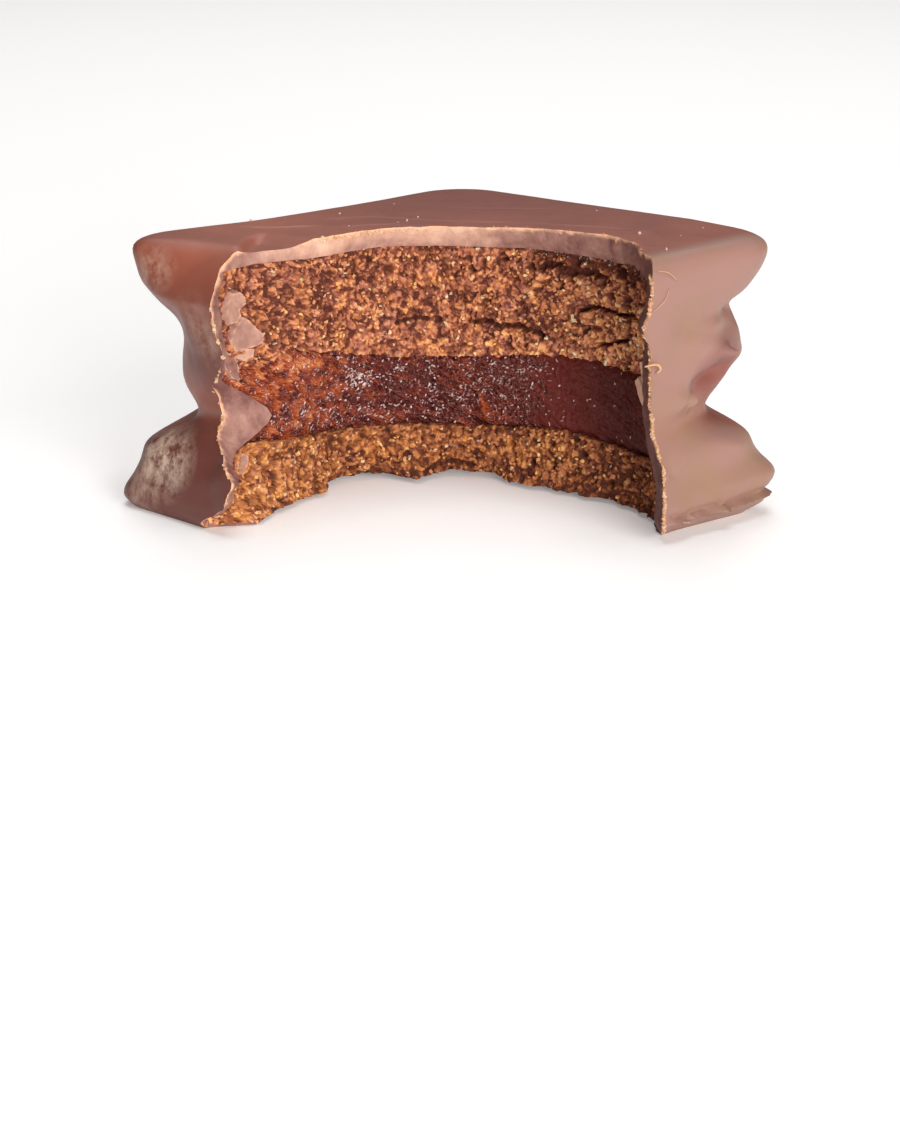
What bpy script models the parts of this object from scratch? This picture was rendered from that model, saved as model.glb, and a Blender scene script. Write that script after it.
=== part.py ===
"""A square alfajor with one corner bitten off.

Two biscuits hold a layer of dulce de leche, and a chocolate coat wraps all
three. The sides run along X and Y, the bitten corner points to +X -Y, and the
origin is on the base, below the middle of the whole biscuit.
"""

import math

import bmesh
import bpy

# Driving dimensions, in metres and degrees.

# Outside of the coat, base to rim: height, half of the side, corner radius.
COAT_RINGS = (
    (0.0000, 0.0254, 0.0026),
    (0.0012, 0.0262, 0.0024),
    (0.0026, 0.0263, 0.0027),
    (0.0046, 0.0260, 0.0036),
    (0.0066, 0.0256, 0.0050),
    (0.0082, 0.0251, 0.0060),
    (0.0094, 0.0245, 0.0080),
    (0.0106, 0.0239, 0.0118),
    (0.0123, 0.0235, 0.0128),
    (0.0143, 0.0237, 0.0116),
    (0.0172, 0.0242, 0.0118),
    (0.0205, 0.0243, 0.0122),
    (0.0224, 0.0245, 0.0114),
    (0.0238, 0.0250, 0.0094),
    (0.0256, 0.0256, 0.0076),
    (0.0276, 0.0259, 0.0066),
    (0.0291, 0.0259, 0.0056),
    (0.0298, 0.0255, 0.0054),
    (0.0302, 0.0245, 0.0058),
    (0.0301, 0.0200, 0.0070),
)

# Inside of the coat, bottom to top, in the same three measures.
HOLLOW_RINGS = (
    (0.0008, 0.0239, 0.0056),
    (0.0040, 0.0241, 0.0060),
    (0.0068, 0.0236, 0.0072),
    (0.0090, 0.0224, 0.0100),
    (0.0118, 0.0217, 0.0110),
    (0.0146, 0.0221, 0.0108),
    (0.0170, 0.0226, 0.0108),
    (0.0220, 0.0229, 0.0106),
    (0.0252, 0.0234, 0.0090),
    (0.0284, 0.0233, 0.0082),
)

# Swellings (+) and dents (-) of the coat: bearing, height, half spread of each, push.
COAT_LUMPS = (
    (45.0, 0.0285, 16.0, 0.0026, 0.0008),
    (43.0, 0.0192, 13.0, 0.0030, 0.0038),
    (45.0, 0.0242, 10.0, 0.0012, -0.0008),
    (45.0, 0.0103, 13.0, 0.0018, 0.0024),
    (45.0, 0.0048, 13.0, 0.0017, 0.0016),
    (30.0, 0.0000, 27.0, 0.0012, -0.0022),
    (28.0, 0.0212, 6.0, 0.0020, 0.0013),
    (29.0, 0.0168, 7.0, 0.0018, -0.0016),
    (22.0, 0.0150, 5.0, 0.0022, 0.0008),
    (30.0, 0.0088, 11.0, 0.0020, 0.0009),
    (208.0, 0.0290, 11.0, 0.0022, 0.0014),
    (225.0, 0.0010, 13.0, 0.0024, 0.0010),
    (225.0, 0.0225, 12.0, 0.0080, 0.0007),
    (232.0, 0.0200, 8.0, 0.0030, -0.0004),
    (240.0, 0.0125, 9.0, 0.0026, -0.0012),
    (135.0, 0.0195, 13.0, 0.0034, 0.0020),
    (135.0, 0.0055, 12.0, 0.0024, 0.0010),
    (90.0, 0.0190, 11.0, 0.0034, 0.0012),
    (108.0, 0.0110, 9.0, 0.0026, -0.0009),
    (70.0, 0.0225, 8.0, 0.0022, 0.0009),
    (166.0, 0.0200, 9.0, 0.0032, 0.0012),
    (190.0, 0.0140, 10.0, 0.0030, -0.0010),
    (205.0, 0.0185, 8.0, 0.0028, 0.0009),
)

# The chocolate on top thickens towards +X, from nothing at -X.
TOP_RISE = 0.0015
TOP_RISE_FROM = -0.0260
TOP_RISE_RUN = 0.0390
TOP_RISE_LOW = 0.0245
TOP_RISE_HIGH = 0.0290

# Where the teeth pushed the coat in over the dulce de leche.
HOLLOW_LUMPS = (
    (237.0, 0.0112, 14.0, 0.0027, -0.0046),
)

BISCUIT_BASE = 0.0011
BISCUIT_MEETS_FILLING = 0.0071
FILLING_MEETS_LID = 0.0162
LID_TOP = 0.0281
GAP = 0.0003

RING_SEGMENTS = 72
CORNER_CROWDING = 0.5

# The bite, in a frame turned so that "along" runs across it and "deep" into it.
BITE_BEARING = 135.0
BITE_ALONG = 0.0003
BITE_DEEP = -0.0125
BITE_STEPS = 54
BITE_LEVELS = (-0.0020, 0.0030, 0.0075, 0.0120, 0.0160, 0.0205, 0.0255, 0.0320)
BITE_OPEN_END = 0.0600

# Marks of single teeth: bearing across the bite, half width in degrees, reach.
# A mark of shape 0.5 is an ellipse with sharp cusps beside it, and 1 is a soft swell.
LOWER_ARCH = 0.0212
LOWER_TEETH = (
    (178.0, 9.0, 0.0276),
    (118.0, 13.0, 0.0255),
    (87.0, 12.0, 0.0246),
    (14.0, 31.0, 0.0233),
)
UPPER_ARCH = 0.0202
UPPER_TEETH = (
    (176.0, 32.0, 0.0258),
    (104.0, 24.0, 0.0213),
    (62.0, 20.0, 0.0209),
    (18.0, 34.0, 0.0220),
)
LOWER_MARK_SHAPE = 0.5
UPPER_MARK_SHAPE = 1.0
TEETH_MEET_LOW = 0.0060
TEETH_MEET_HIGH = 0.0180

COAT_STANDS_PROUD = -0.0004
FILLING_SET_BACK = 0.0007

# name: base colour, roughness
FINISHES = {
    "milk_chocolate": ((0.120, 0.052, 0.040, 1.0), 0.38),
    "cocoa_biscuit": ((0.235, 0.098, 0.028, 1.0), 0.90),
    "dulce_de_leche": ((0.105, 0.018, 0.010, 1.0), 0.22),
}


def clear_objects():
    for thing in list(bpy.data.objects):
        bpy.data.objects.remove(thing, do_unlink=True)


def make_finish(name):
    colour, roughness = FINISHES[name]
    finish = bpy.data.materials.new(name)
    finish.use_nodes = True
    shader = finish.node_tree.nodes["Principled BSDF"]
    shader.inputs["Base Color"].default_value = colour
    shader.inputs["Roughness"].default_value = roughness
    shader.inputs["Metallic"].default_value = 0.0
    return finish


def ease(value):
    """Runs smoothly from 0 to 1 as value does, and stays level outside."""
    held = min(max(value, 0.0), 1.0)
    return held * held * (3.0 - 2.0 * held)


def square_reach(bearing, half, corner):
    """Distance from the axis to a rounded square's outline at a bearing in radians."""
    quarter = math.pi / 2
    folded = abs((bearing + quarter / 2) % quarter - quarter / 2)
    flat = half - corner
    if half * math.tan(folded) <= flat:
        return half / math.cos(folded)
    lean = flat * (math.cos(folded) + math.sin(folded))
    return lean + math.sqrt(lean * lean - 2 * flat * flat + corner * corner)


def lump_push(lumps, bearing, height):
    """Sum of all swellings and dents at a bearing in radians and a height."""
    push = 0.0
    for centre, level, wide, tall, depth in lumps:
        turn = (math.degrees(bearing) - centre + 180.0) % 360.0 - 180.0
        push += depth * math.exp(-((turn / wide) ** 2) - ((height - level) / tall) ** 2)
    return push


def top_rise(x, height):
    """How much thicker the top has set at a place on the coat."""
    across = (x - TOP_RISE_FROM) / TOP_RISE_RUN
    near_top = (height - TOP_RISE_LOW) / (TOP_RISE_HIGH - TOP_RISE_LOW)
    return TOP_RISE * min(max(across, 0.0), 1.0) * ease(near_top)


def ring_at(rings, height):
    """Half side and corner radius at a height between the given rings."""
    for low, high in zip(rings, rings[1:]):
        if height <= high[0]:
            break
    share = min(max((height - low[0]) / (high[0] - low[0]), 0.0), 1.0)
    half = low[1] + share * (high[1] - low[1])
    corner = low[2] + share * (high[2] - low[2])
    return half, corner


def add_ring(body, height, half, corner, lumps):
    """One closed outline at a height, with its points crowded towards the corners."""
    ring = bmesh.ops.create_circle(body, segments=RING_SEGMENTS, radius=1.0)["verts"]
    for vert in ring:
        step = math.atan2(vert.co.y, vert.co.x)
        bearing = step + CORNER_CROWDING / 4 * math.sin(4 * step)
        reach = square_reach(bearing, half, corner) + lump_push(lumps, bearing, height)
        vert.co = (reach * math.cos(bearing), reach * math.sin(bearing), height)
    return list({edge for vert in ring for edge in vert.link_edges})


def link_object(name, body, finish=None):
    """Turns the body into an object whose faces point out."""
    bmesh.ops.recalc_face_normals(body, faces=body.faces)
    mesh = bpy.data.meshes.new(name)
    body.to_mesh(mesh)
    body.free()
    if finish:
        mesh.materials.append(finish)
        mesh.shade_smooth()
    thing = bpy.data.objects.new(name, mesh)
    bpy.context.collection.objects.link(thing)
    return thing


def skin_rings(body, loops):
    """Joins neighbouring outlines with walls and closes both ends."""
    for low, high in zip(loops, loops[1:]):
        bmesh.ops.bridge_loops(body, edges=low + high)
    for end in (loops[0], loops[-1]):
        bmesh.ops.contextual_create(body, geom=end)


def lofted_solid(name, rings, lumps, finish=None):
    body = bmesh.new()
    loops = [add_ring(body, height, half, corner, lumps) for height, half, corner in rings]
    skin_rings(body, loops)
    return link_object(name, body, finish)


def layer_solid(name, low, high, finish):
    """The slab of the hollow between two heights, a gap smaller all round."""
    levels = [low] + [ring[0] for ring in HOLLOW_RINGS if low < ring[0] < high] + [high]
    rings = []
    for height in levels:
        half, corner = ring_at(HOLLOW_RINGS, height)
        rings.append((height, half - GAP, corner))
    return lofted_solid(name, rings, HOLLOW_LUMPS, finish)


def arch_reach(bearing, arch, teeth, shape):
    """How far the bite reaches at a bearing in degrees, with its tooth marks."""
    reach = arch
    for centre, wide, tooth_reach in teeth:
        inside = 1.0 - ((bearing - centre) / wide) ** 2
        if inside > 0.0:
            reach = max(reach, arch + (tooth_reach - arch) * inside ** shape)
    return reach


def bite_reach(bearing, height):
    upper = arch_reach(bearing, UPPER_ARCH, UPPER_TEETH, UPPER_MARK_SHAPE)
    lower = arch_reach(bearing, LOWER_ARCH, LOWER_TEETH, LOWER_MARK_SHAPE)
    share = ease((height - TEETH_MEET_LOW) / (TEETH_MEET_HIGH - TEETH_MEET_LOW))
    return lower + share * (upper - lower)


def bite_point(along, deep, height):
    """A point of the bite's frame in the biscuit's frame."""
    turn = math.radians(BITE_BEARING - 90.0)
    x = along * math.cos(turn) - deep * math.sin(turn)
    y = along * math.sin(turn) + deep * math.cos(turn)
    return x, y, height


def add_bite_outline(body, height, offset):
    """The arch of the bite at one height, open to well beyond the bitten corner."""
    points = []
    for step in range(BITE_STEPS + 1):
        bearing = 180.0 * step / BITE_STEPS
        reach = bite_reach(bearing, height) + offset
        along = BITE_ALONG + reach * math.cos(math.radians(bearing))
        deep = BITE_DEEP + reach * math.sin(math.radians(bearing))
        points.append(bite_point(along, deep, height))
    points.append(bite_point(-BITE_OPEN_END, BITE_DEEP, height))
    points.append(bite_point(-BITE_OPEN_END, -BITE_OPEN_END, height))
    points.append(bite_point(BITE_OPEN_END, -BITE_OPEN_END, height))
    points.append(bite_point(BITE_OPEN_END, BITE_DEEP, height))
    corners = [body.verts.new(point) for point in points]
    return [body.edges.new(pair) for pair in zip(corners, corners[1:] + corners[:1])]


def bite_cutter(name, offset):
    body = bmesh.new()
    skin_rings(body, [add_bite_outline(body, height, offset) for height in BITE_LEVELS])
    return link_object(name, body)


def cut_away(solid, cutter):
    cut = solid.modifiers.new("less " + cutter.name, "BOOLEAN")
    cut.operation = "DIFFERENCE"
    cut.solver = "EXACT"
    cut.object = cutter
    cutter.hide_render = True
    cutter.display_type = "WIRE"


def chocolate_coat():
    coat = lofted_solid("chocolate_coat", COAT_RINGS, COAT_LUMPS, make_finish("milk_chocolate"))
    for vert in coat.data.vertices:
        vert.co.z += top_rise(vert.co.x, vert.co.z)
    cut_away(coat, lofted_solid("coat_hollow", HOLLOW_RINGS, HOLLOW_LUMPS))
    cut_away(coat, bite_cutter("coat_bite", COAT_STANDS_PROUD))


def biscuits():
    finish = make_finish("cocoa_biscuit")
    bite = bite_cutter("biscuit_bite", 0.0)
    bottom = layer_solid("bottom_biscuit", BISCUIT_BASE, BISCUIT_MEETS_FILLING - GAP / 2, finish)
    top = layer_solid("top_biscuit", FILLING_MEETS_LID + GAP / 2, LID_TOP, finish)
    cut_away(bottom, bite)
    cut_away(top, bite)


def filling():
    low = BISCUIT_MEETS_FILLING + GAP / 2
    high = FILLING_MEETS_LID - GAP / 2
    layer = layer_solid("filling", low, high, make_finish("dulce_de_leche"))
    cut_away(layer, bite_cutter("filling_bite", FILLING_SET_BACK))


def build_alfajor():
    clear_objects()
    chocolate_coat()
    biscuits()
    filling()


build_alfajor()
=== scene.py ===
import math
import random

import bmesh
import bpy
from mathutils import Matrix, Vector, noise


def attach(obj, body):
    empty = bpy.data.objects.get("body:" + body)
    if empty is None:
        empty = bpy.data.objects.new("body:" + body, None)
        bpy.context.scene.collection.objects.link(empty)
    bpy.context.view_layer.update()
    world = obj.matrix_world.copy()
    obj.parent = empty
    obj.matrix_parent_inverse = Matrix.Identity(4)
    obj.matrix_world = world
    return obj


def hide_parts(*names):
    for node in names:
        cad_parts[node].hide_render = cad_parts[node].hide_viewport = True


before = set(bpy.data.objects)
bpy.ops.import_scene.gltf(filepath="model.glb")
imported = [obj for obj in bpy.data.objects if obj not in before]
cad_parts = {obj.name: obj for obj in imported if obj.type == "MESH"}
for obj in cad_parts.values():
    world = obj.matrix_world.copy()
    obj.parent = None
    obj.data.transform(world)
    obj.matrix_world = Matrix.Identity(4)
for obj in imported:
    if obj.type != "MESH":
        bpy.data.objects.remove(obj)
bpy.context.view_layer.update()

noise.seed_set(7)           # the vector noise would otherwise change from run to run
mm = 0.001
diagonal = math.sqrt(0.5)


# the shared form: the same named sizes as the solids, in metres and degrees

coatForm = {
    # base to rim: height, half of the side, corner radius
    "rings": (
        (0.0000, 0.0254, 0.0026),
        (0.0012, 0.0262, 0.0024),
        (0.0026, 0.0263, 0.0027),
        (0.0046, 0.0260, 0.0036),
        (0.0066, 0.0256, 0.0050),
        (0.0082, 0.0251, 0.0060),
        (0.0094, 0.0245, 0.0080),
        (0.0106, 0.0239, 0.0118),
        (0.0123, 0.0235, 0.0128),
        (0.0143, 0.0237, 0.0116),
        (0.0172, 0.0242, 0.0118),
        (0.0205, 0.0243, 0.0122),
        (0.0224, 0.0245, 0.0114),
        (0.0238, 0.0250, 0.0094),
        (0.0256, 0.0256, 0.0076),
        (0.0276, 0.0259, 0.0066),
        (0.0291, 0.0259, 0.0056),
        (0.0298, 0.0255, 0.0054),
        (0.0302, 0.0245, 0.0058),
        (0.0301, 0.0200, 0.0070),
    ),
    # swellings and dents: bearing, height, half spread of each, push
    "lumps": (
        (45.0, 0.0285, 16.0, 0.0026, 0.0008),
        (43.0, 0.0192, 13.0, 0.0030, 0.0038),
        (45.0, 0.0242, 10.0, 0.0012, -0.0008),
        (45.0, 0.0103, 13.0, 0.0018, 0.0024),
        (45.0, 0.0048, 13.0, 0.0017, 0.0016),
        (30.0, 0.0000, 27.0, 0.0012, -0.0022),
        (28.0, 0.0212, 6.0, 0.0020, 0.0013),
        (29.0, 0.0168, 7.0, 0.0018, -0.0016),
        (22.0, 0.0150, 5.0, 0.0022, 0.0008),
        (30.0, 0.0088, 11.0, 0.0020, 0.0009),
        (208.0, 0.0290, 11.0, 0.0022, 0.0014),
        (225.0, 0.0010, 13.0, 0.0024, 0.0010),
        (225.0, 0.0225, 12.0, 0.0080, 0.0007),
        (232.0, 0.0200, 8.0, 0.0030, -0.0004),
        (240.0, 0.0125, 9.0, 0.0026, -0.0012),
        (135.0, 0.0195, 13.0, 0.0034, 0.0020),
        (135.0, 0.0055, 12.0, 0.0024, 0.0010),
        (90.0, 0.0190, 11.0, 0.0034, 0.0012),
        (108.0, 0.0110, 9.0, 0.0026, -0.0009),
        (70.0, 0.0225, 8.0, 0.0022, 0.0009),
        (166.0, 0.0200, 9.0, 0.0032, 0.0012),
        (190.0, 0.0140, 10.0, 0.0030, -0.0010),
        (205.0, 0.0185, 8.0, 0.0028, 0.0009),
    ),
    # the top thickens towards +X: how much, from where, over what run, between which heights
    "topRise": (0.0015, -0.0260, 0.0390, 0.0245, 0.0290),
}

hollowForm = {
    "rings": (
        (0.0008, 0.0239, 0.0056),
        (0.0040, 0.0241, 0.0060),
        (0.0068, 0.0236, 0.0072),
        (0.0090, 0.0224, 0.0100),
        (0.0118, 0.0217, 0.0110),
        (0.0146, 0.0221, 0.0108),
        (0.0170, 0.0226, 0.0108),
        (0.0220, 0.0229, 0.0106),
        (0.0252, 0.0234, 0.0090),
        (0.0284, 0.0233, 0.0082),
    ),
    "lumps": ((237.0, 0.0112, 14.0, 0.0027, -0.0046),),
}

biteForm = {
    "along": 0.0003,
    "deep": -0.0125,
    # tooth marks: bearing across the bite, half width, reach
    "lowerArch": 0.0212,
    "lowerTeeth": (
        (178.0, 9.0, 0.0276),
        (118.0, 13.0, 0.0255),
        (87.0, 12.0, 0.0246),
        (14.0, 31.0, 0.0233),
    ),
    "upperArch": 0.0202,
    "upperTeeth": (
        (176.0, 32.0, 0.0258),
        (104.0, 24.0, 0.0213),
        (62.0, 20.0, 0.0209),
        (18.0, 34.0, 0.0220),
    ),
    "lowerShape": 0.5,
    "upperShape": 1.0,
    "footHeight": 0.0042,
    "meetLow": 0.0060,
    "meetHigh": 0.0180,
}


def ease(value):
    held = min(max(value, 0.0), 1.0)
    return held * held * (3.0 - 2.0 * held)


def bell(value, spread):
    return math.exp(-((value / spread) ** 2))


def turnBetween(a, b):
    return (a - b + 180.0) % 360.0 - 180.0


def squareReach(bearing, half, corner):
    quarter = math.pi / 2
    folded = abs((bearing + quarter / 2) % quarter - quarter / 2)
    flat = half - corner
    if half * math.tan(folded) <= flat:
        return half / math.cos(folded)
    lean = flat * (math.cos(folded) + math.sin(folded))
    return lean + math.sqrt(max(lean * lean - 2 * flat * flat + corner * corner, 0.0))


def lumpPush(lumps, degrees, height):
    push = 0.0
    for centre, level, wide, tall, depth in lumps:
        rise = (height - level) / tall
        if abs(rise) < 3.0:
            turn = turnBetween(degrees, centre) / wide
            if abs(turn) < 3.0:
                push += depth * math.exp(-turn * turn - rise * rise)
    return push


def topRise(x, height):
    most, start, run, low, high = coatForm["topRise"]
    across = min(max((x - start) / run, 0.0), 1.0)
    return most * across * ease((height - low) / (high - low))


def tableAt(rows, place):
    # the values of a table of (place, value, ...) rows, drawn straight from row to row
    for low, high in zip(rows, rows[1:]):
        if place <= high[0]:
            break
    share = min(max((place - low[0]) / (high[0] - low[0]), 0.0), 1.0)
    return [a + share * (b - a) for a, b in zip(low[1:], high[1:])]


def archReach(bearing, arch, teeth, shape):
    reach = arch
    for centre, wide, toothReach in teeth:
        inside = 1.0 - ((bearing - centre) / wide) ** 2
        if inside > 0.0:
            reach = max(reach, arch + (toothReach - arch) * inside ** shape)
    return reach


def smoothArch(level, spread):
    # the arch at every whole bearing, its tooth marks softened over `spread` degrees
    arch, teeth, shape = (biteForm[level + part] for part in ("Arch", "Teeth", "Shape"))
    offsets = [spread * step / 5.0 for step in range(-5, 6)]
    return [
        sum(archReach(bearing + offset, arch, teeth, shape) for offset in offsets) / len(offsets)
        for bearing in range(archStart, archEnd + 1)
    ]


archStart, archEnd = -30, 210
footArch = smoothArch("lower", 2.5)
lowArch = smoothArch("lower", 15.0)
highArch = smoothArch("upper", 8.0)


def archAt(arch, bearing):
    place = min(max(bearing - archStart, 0.0), len(arch) - 2.0)
    step = int(place)
    return arch[step] + (place - step) * (arch[step + 1] - arch[step])


def biteReach(bearing, height):
    upper = archAt(highArch, bearing)
    lower = archAt(lowArch, bearing)
    foot = archAt(footArch, bearing)
    lower = foot + ease(height / biteForm["footHeight"]) * (lower - foot)
    share = ease((height - biteForm["meetLow"]) / (biteForm["meetHigh"] - biteForm["meetLow"]))
    return lower + share * (upper - lower)


def bitePoint(along, deep, height):
    return Vector(((along - deep) * diagonal, (along + deep) * diagonal, height))


def arcPoint(bearing, reach, height):
    angle = math.radians(bearing)
    along = biteForm["along"] + reach * math.cos(angle)
    deep = biteForm["deep"] + reach * math.sin(angle)
    return bitePoint(along, deep, height)


def intoBite(bearing):
    # unit step from the cut surface towards the open bite
    angle = math.radians(bearing)
    return bitePoint(-math.cos(angle), -math.sin(angle), 0.0)


def ripple(point, size, seed=0.0):
    # smooth noise whose waves are about `size` metres long
    return noise.noise(Vector(point) / size + Vector((seed, seed * 1.7, -seed)))


def spunTube(steps, levels):
    # an upright tube of radius 1: its bearing and its level say where each point goes
    tube = bmesh.new()
    line = [tube.verts.new((1.0, 0.0, level)) for level in range(levels + 1)]
    edges = [tube.edges.new(pair) for pair in zip(line, line[1:])]
    bmesh.ops.spin(
        tube, geom=line + edges, cent=(0, 0, 0), axis=(0, 0, 1), dvec=(0, 0, 0),
        angle=math.tau, steps=steps, use_merge=True, use_normal_flip=False, use_duplicate=False,
    )
    bmesh.ops.remove_doubles(tube, verts=tube.verts, dist=1e-5)
    rims = [edge for edge in tube.edges if edge.is_boundary]
    for end in (0, levels):
        rim = [edge for edge in rims if round(edge.verts[0].co.z) == end]
        bmesh.ops.contextual_create(tube, geom=rim)
    return tube


def shapeTube(tube, steps, placeVert):
    for vert in tube.verts:
        station = math.atan2(vert.co.y, vert.co.x) / math.tau % 1.0
        vert.co = placeVert(round(station * steps) % steps, round(vert.co.z))
    bmesh.ops.recalc_face_normals(tube, faces=tube.faces)


def finishPiece(name, body, materials, slot, *nodes, sharp=None):
    mesh = bpy.data.meshes.new(name)
    body.to_mesh(mesh)
    body.free()
    for material in materials:
        mesh.materials.append(material)
    mesh.shade_smooth()
    if sharp:
        mesh.set_sharp_from_angle(angle=math.radians(sharp))
    piece = bpy.data.objects.new(name, mesh)
    bpy.context.collection.objects.link(piece)
    if slot:
        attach(piece, "root")
    if nodes:
        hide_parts(*nodes)
    return piece


def pour(part, body):
    # adds a finished part to a piece's own mesh
    mesh = bpy.data.meshes.new("poured")
    part.to_mesh(mesh)
    body.from_mesh(mesh)
    bpy.data.meshes.remove(mesh)
    part.free()


def carve(piece, cutter):
    cut = piece.modifiers.new("carve", "BOOLEAN")
    cut.operation = "DIFFERENCE"
    cut.solver = "EXACT"
    cut.material_mode = "TRANSFER"
    cut.object = cutter
    graph = bpy.context.evaluated_depsgraph_get()
    carved = bpy.data.meshes.new_from_object(piece.evaluated_get(graph), depsgraph=graph)
    piece.modifiers.clear()
    piece.data = carved
    carved.name = piece.name
    bpy.data.objects.remove(cutter, do_unlink=True)


def newMaterial(name, colour, roughness, specular):
    material = bpy.data.materials.new(name)
    material.use_nodes = True
    shader = material.node_tree.nodes["Principled BSDF"]
    shader.inputs["Base Color"].default_value = (*colour, 1.0)
    shader.inputs["Roughness"].default_value = roughness
    shader.inputs["Specular IOR Level"].default_value = specular
    return material, material.node_tree, shader


def addNode(tree, kind, links=(), **values):
    node = tree.nodes.new(kind)
    for key, value in values.items():
        if key in node.inputs:
            node.inputs[key].default_value = value
        else:
            setattr(node, key, value)
    for source, target in links:
        tree.links.new(source, node.inputs[target])
    return node


def addRamp(tree, source, stops):
    node = addNode(tree, "ShaderNodeValToRGB", [(source, "Fac")])
    ramp = node.color_ramp
    while len(ramp.elements) < len(stops):
        ramp.elements.new(0.5)
    for element, (place, colour) in zip(ramp.elements, stops):
        element.position = place
        element.color = (*colour, 1.0)
    return node


def objectNoise(tree, scale, detail=4.0, roughness=0.55, stretch=(1, 1, 1)):
    place = addNode(tree, "ShaderNodeTexCoord")
    mapping = addNode(tree, "ShaderNodeMapping", [(place.outputs["Object"], "Vector")])
    mapping.inputs["Scale"].default_value = stretch
    return addNode(
        tree, "ShaderNodeTexNoise", [(mapping.outputs["Vector"], "Vector")],
        Scale=scale, Detail=detail, Roughness=roughness,
    )


def mixColour(tree, mode, fac, a, b):
    node = addNode(tree, "ShaderNodeMix", data_type="RGBA", blend_type=mode)
    if isinstance(fac, (int, float)):
        node.inputs[0].default_value = fac
    else:
        tree.links.new(fac, node.inputs[0])
    for value, place in ((a, 6), (b, 7)):
        if isinstance(value, tuple):
            node.inputs[place].default_value = (*value, 1.0)
        else:
            tree.links.new(value, node.inputs[place])
    return node.outputs[2]


def addRange(tree, source, start, end, low=0.0, high=1.0, kind="LINEAR"):
    node = addNode(
        tree, "ShaderNodeMapRange", [(source, "Value")], interpolation_type=kind,
        **{"From Min": start, "From Max": end, "To Min": low, "To Max": high},
    )
    return node.outputs["Result"]


def addBump(tree, shader, source, strength, distance):
    bump = addNode(tree, "ShaderNodeBump", [(source, "Height")], Strength=strength, Distance=distance)
    tree.links.new(bump.outputs["Normal"], shader.inputs["Normal"])


def pointValue(tree, name):
    return addNode(tree, "ShaderNodeAttribute", attribute_name=name).outputs["Fac"]


def driftingTone(tree, name, cloud, start, end, most):
    # each point's own tone, shifted by a noise of at most `most` either way
    shift = addRange(tree, cloud.outputs["Fac"], start, end, -most, most)
    total = addNode(tree, "ShaderNodeMath", [(pointValue(tree, name), 0), (shift, 1)], operation="ADD")
    return total.outputs["Value"]


def along(tree, direction, low, high):
    # 0 to 1 as a point moves from low to high along a direction, in the part's own frame
    place = addNode(tree, "ShaderNodeTexCoord")
    dot = addNode(tree, "ShaderNodeVectorMath", [(place.outputs["Object"], 0)], operation="DOT_PRODUCT")
    dot.inputs[1].default_value = direction
    return addRange(tree, dot.outputs["Value"], low, high, kind="SMOOTHSTEP")


def patch(tree, centre, radius):
    # 1 at a point of the part, falling to 0 at a radius
    place = addNode(tree, "ShaderNodeTexCoord")
    mapping = addNode(tree, "ShaderNodeMapping", [(place.outputs["Object"], "Vector")])
    mapping.inputs["Scale"].default_value = (1 / radius,) * 3
    mapping.inputs["Location"].default_value = [-value / radius for value in centre]
    return addNode(
        tree, "ShaderNodeTexGradient", [(mapping.outputs["Vector"], "Vector")], gradient_type="SPHERICAL",
    ).outputs["Fac"]


def multiply(tree, a, b):
    node = addNode(tree, "ShaderNodeMath", [(a, 0)], operation="MULTIPLY")
    if isinstance(b, (int, float)):
        node.inputs[1].default_value = b
    else:
        tree.links.new(b, node.inputs[1])
    return node.outputs["Value"]


# the coat's colours; a painted sheen lies over the +X wall between the two x values below, with painted shade
# deeper in its hollow
chocolateLook = {
    "dark": (0.236, 0.065, 0.040),
    "plain": (0.284, 0.079, 0.048),
    "light": (0.326, 0.095, 0.058),
    "shade": (0.150, 0.042, 0.031),
    # painted sheen of the +X wall, and painted shade in its hollow
    "paintedSheen": (0.318, 0.168, 0.136),
    "paintedSheenWarm": (0.300, 0.168, 0.112),
    "paintedHollowShade": (0.200, 0.078, 0.068),
    # painted shade of the far side
    "far": (0.200, 0.052, 0.033),
    "bloom": (0.62, 0.45, 0.34),
    "paintedSheenFrom": 0.0215,
    "paintedSheenTo": 0.0248,
    "hollow": (0.0236, 0.0172, 0.0180),
    "hollowRadius": 0.0050,
    "roughness": (0.38, 0.52),
    # whitish fat bloom: centre, radius, strength
    "blooms": (
        ((-0.0192, -0.0258, 0.0068), 0.0056, 1.6),
        ((-0.0225, -0.0250, 0.0020), 0.0040, 0.9),
        ((-0.0140, -0.0248, 0.0232), 0.0040, 0.3),
        ((-0.0115, -0.0248, 0.0208), 0.0036, 0.3),
        ((-0.0205, -0.0255, 0.0278), 0.0034, 0.6),
        ((-0.0070, -0.0240, 0.0190), 0.0026, 0.9),
    ),
}


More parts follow.
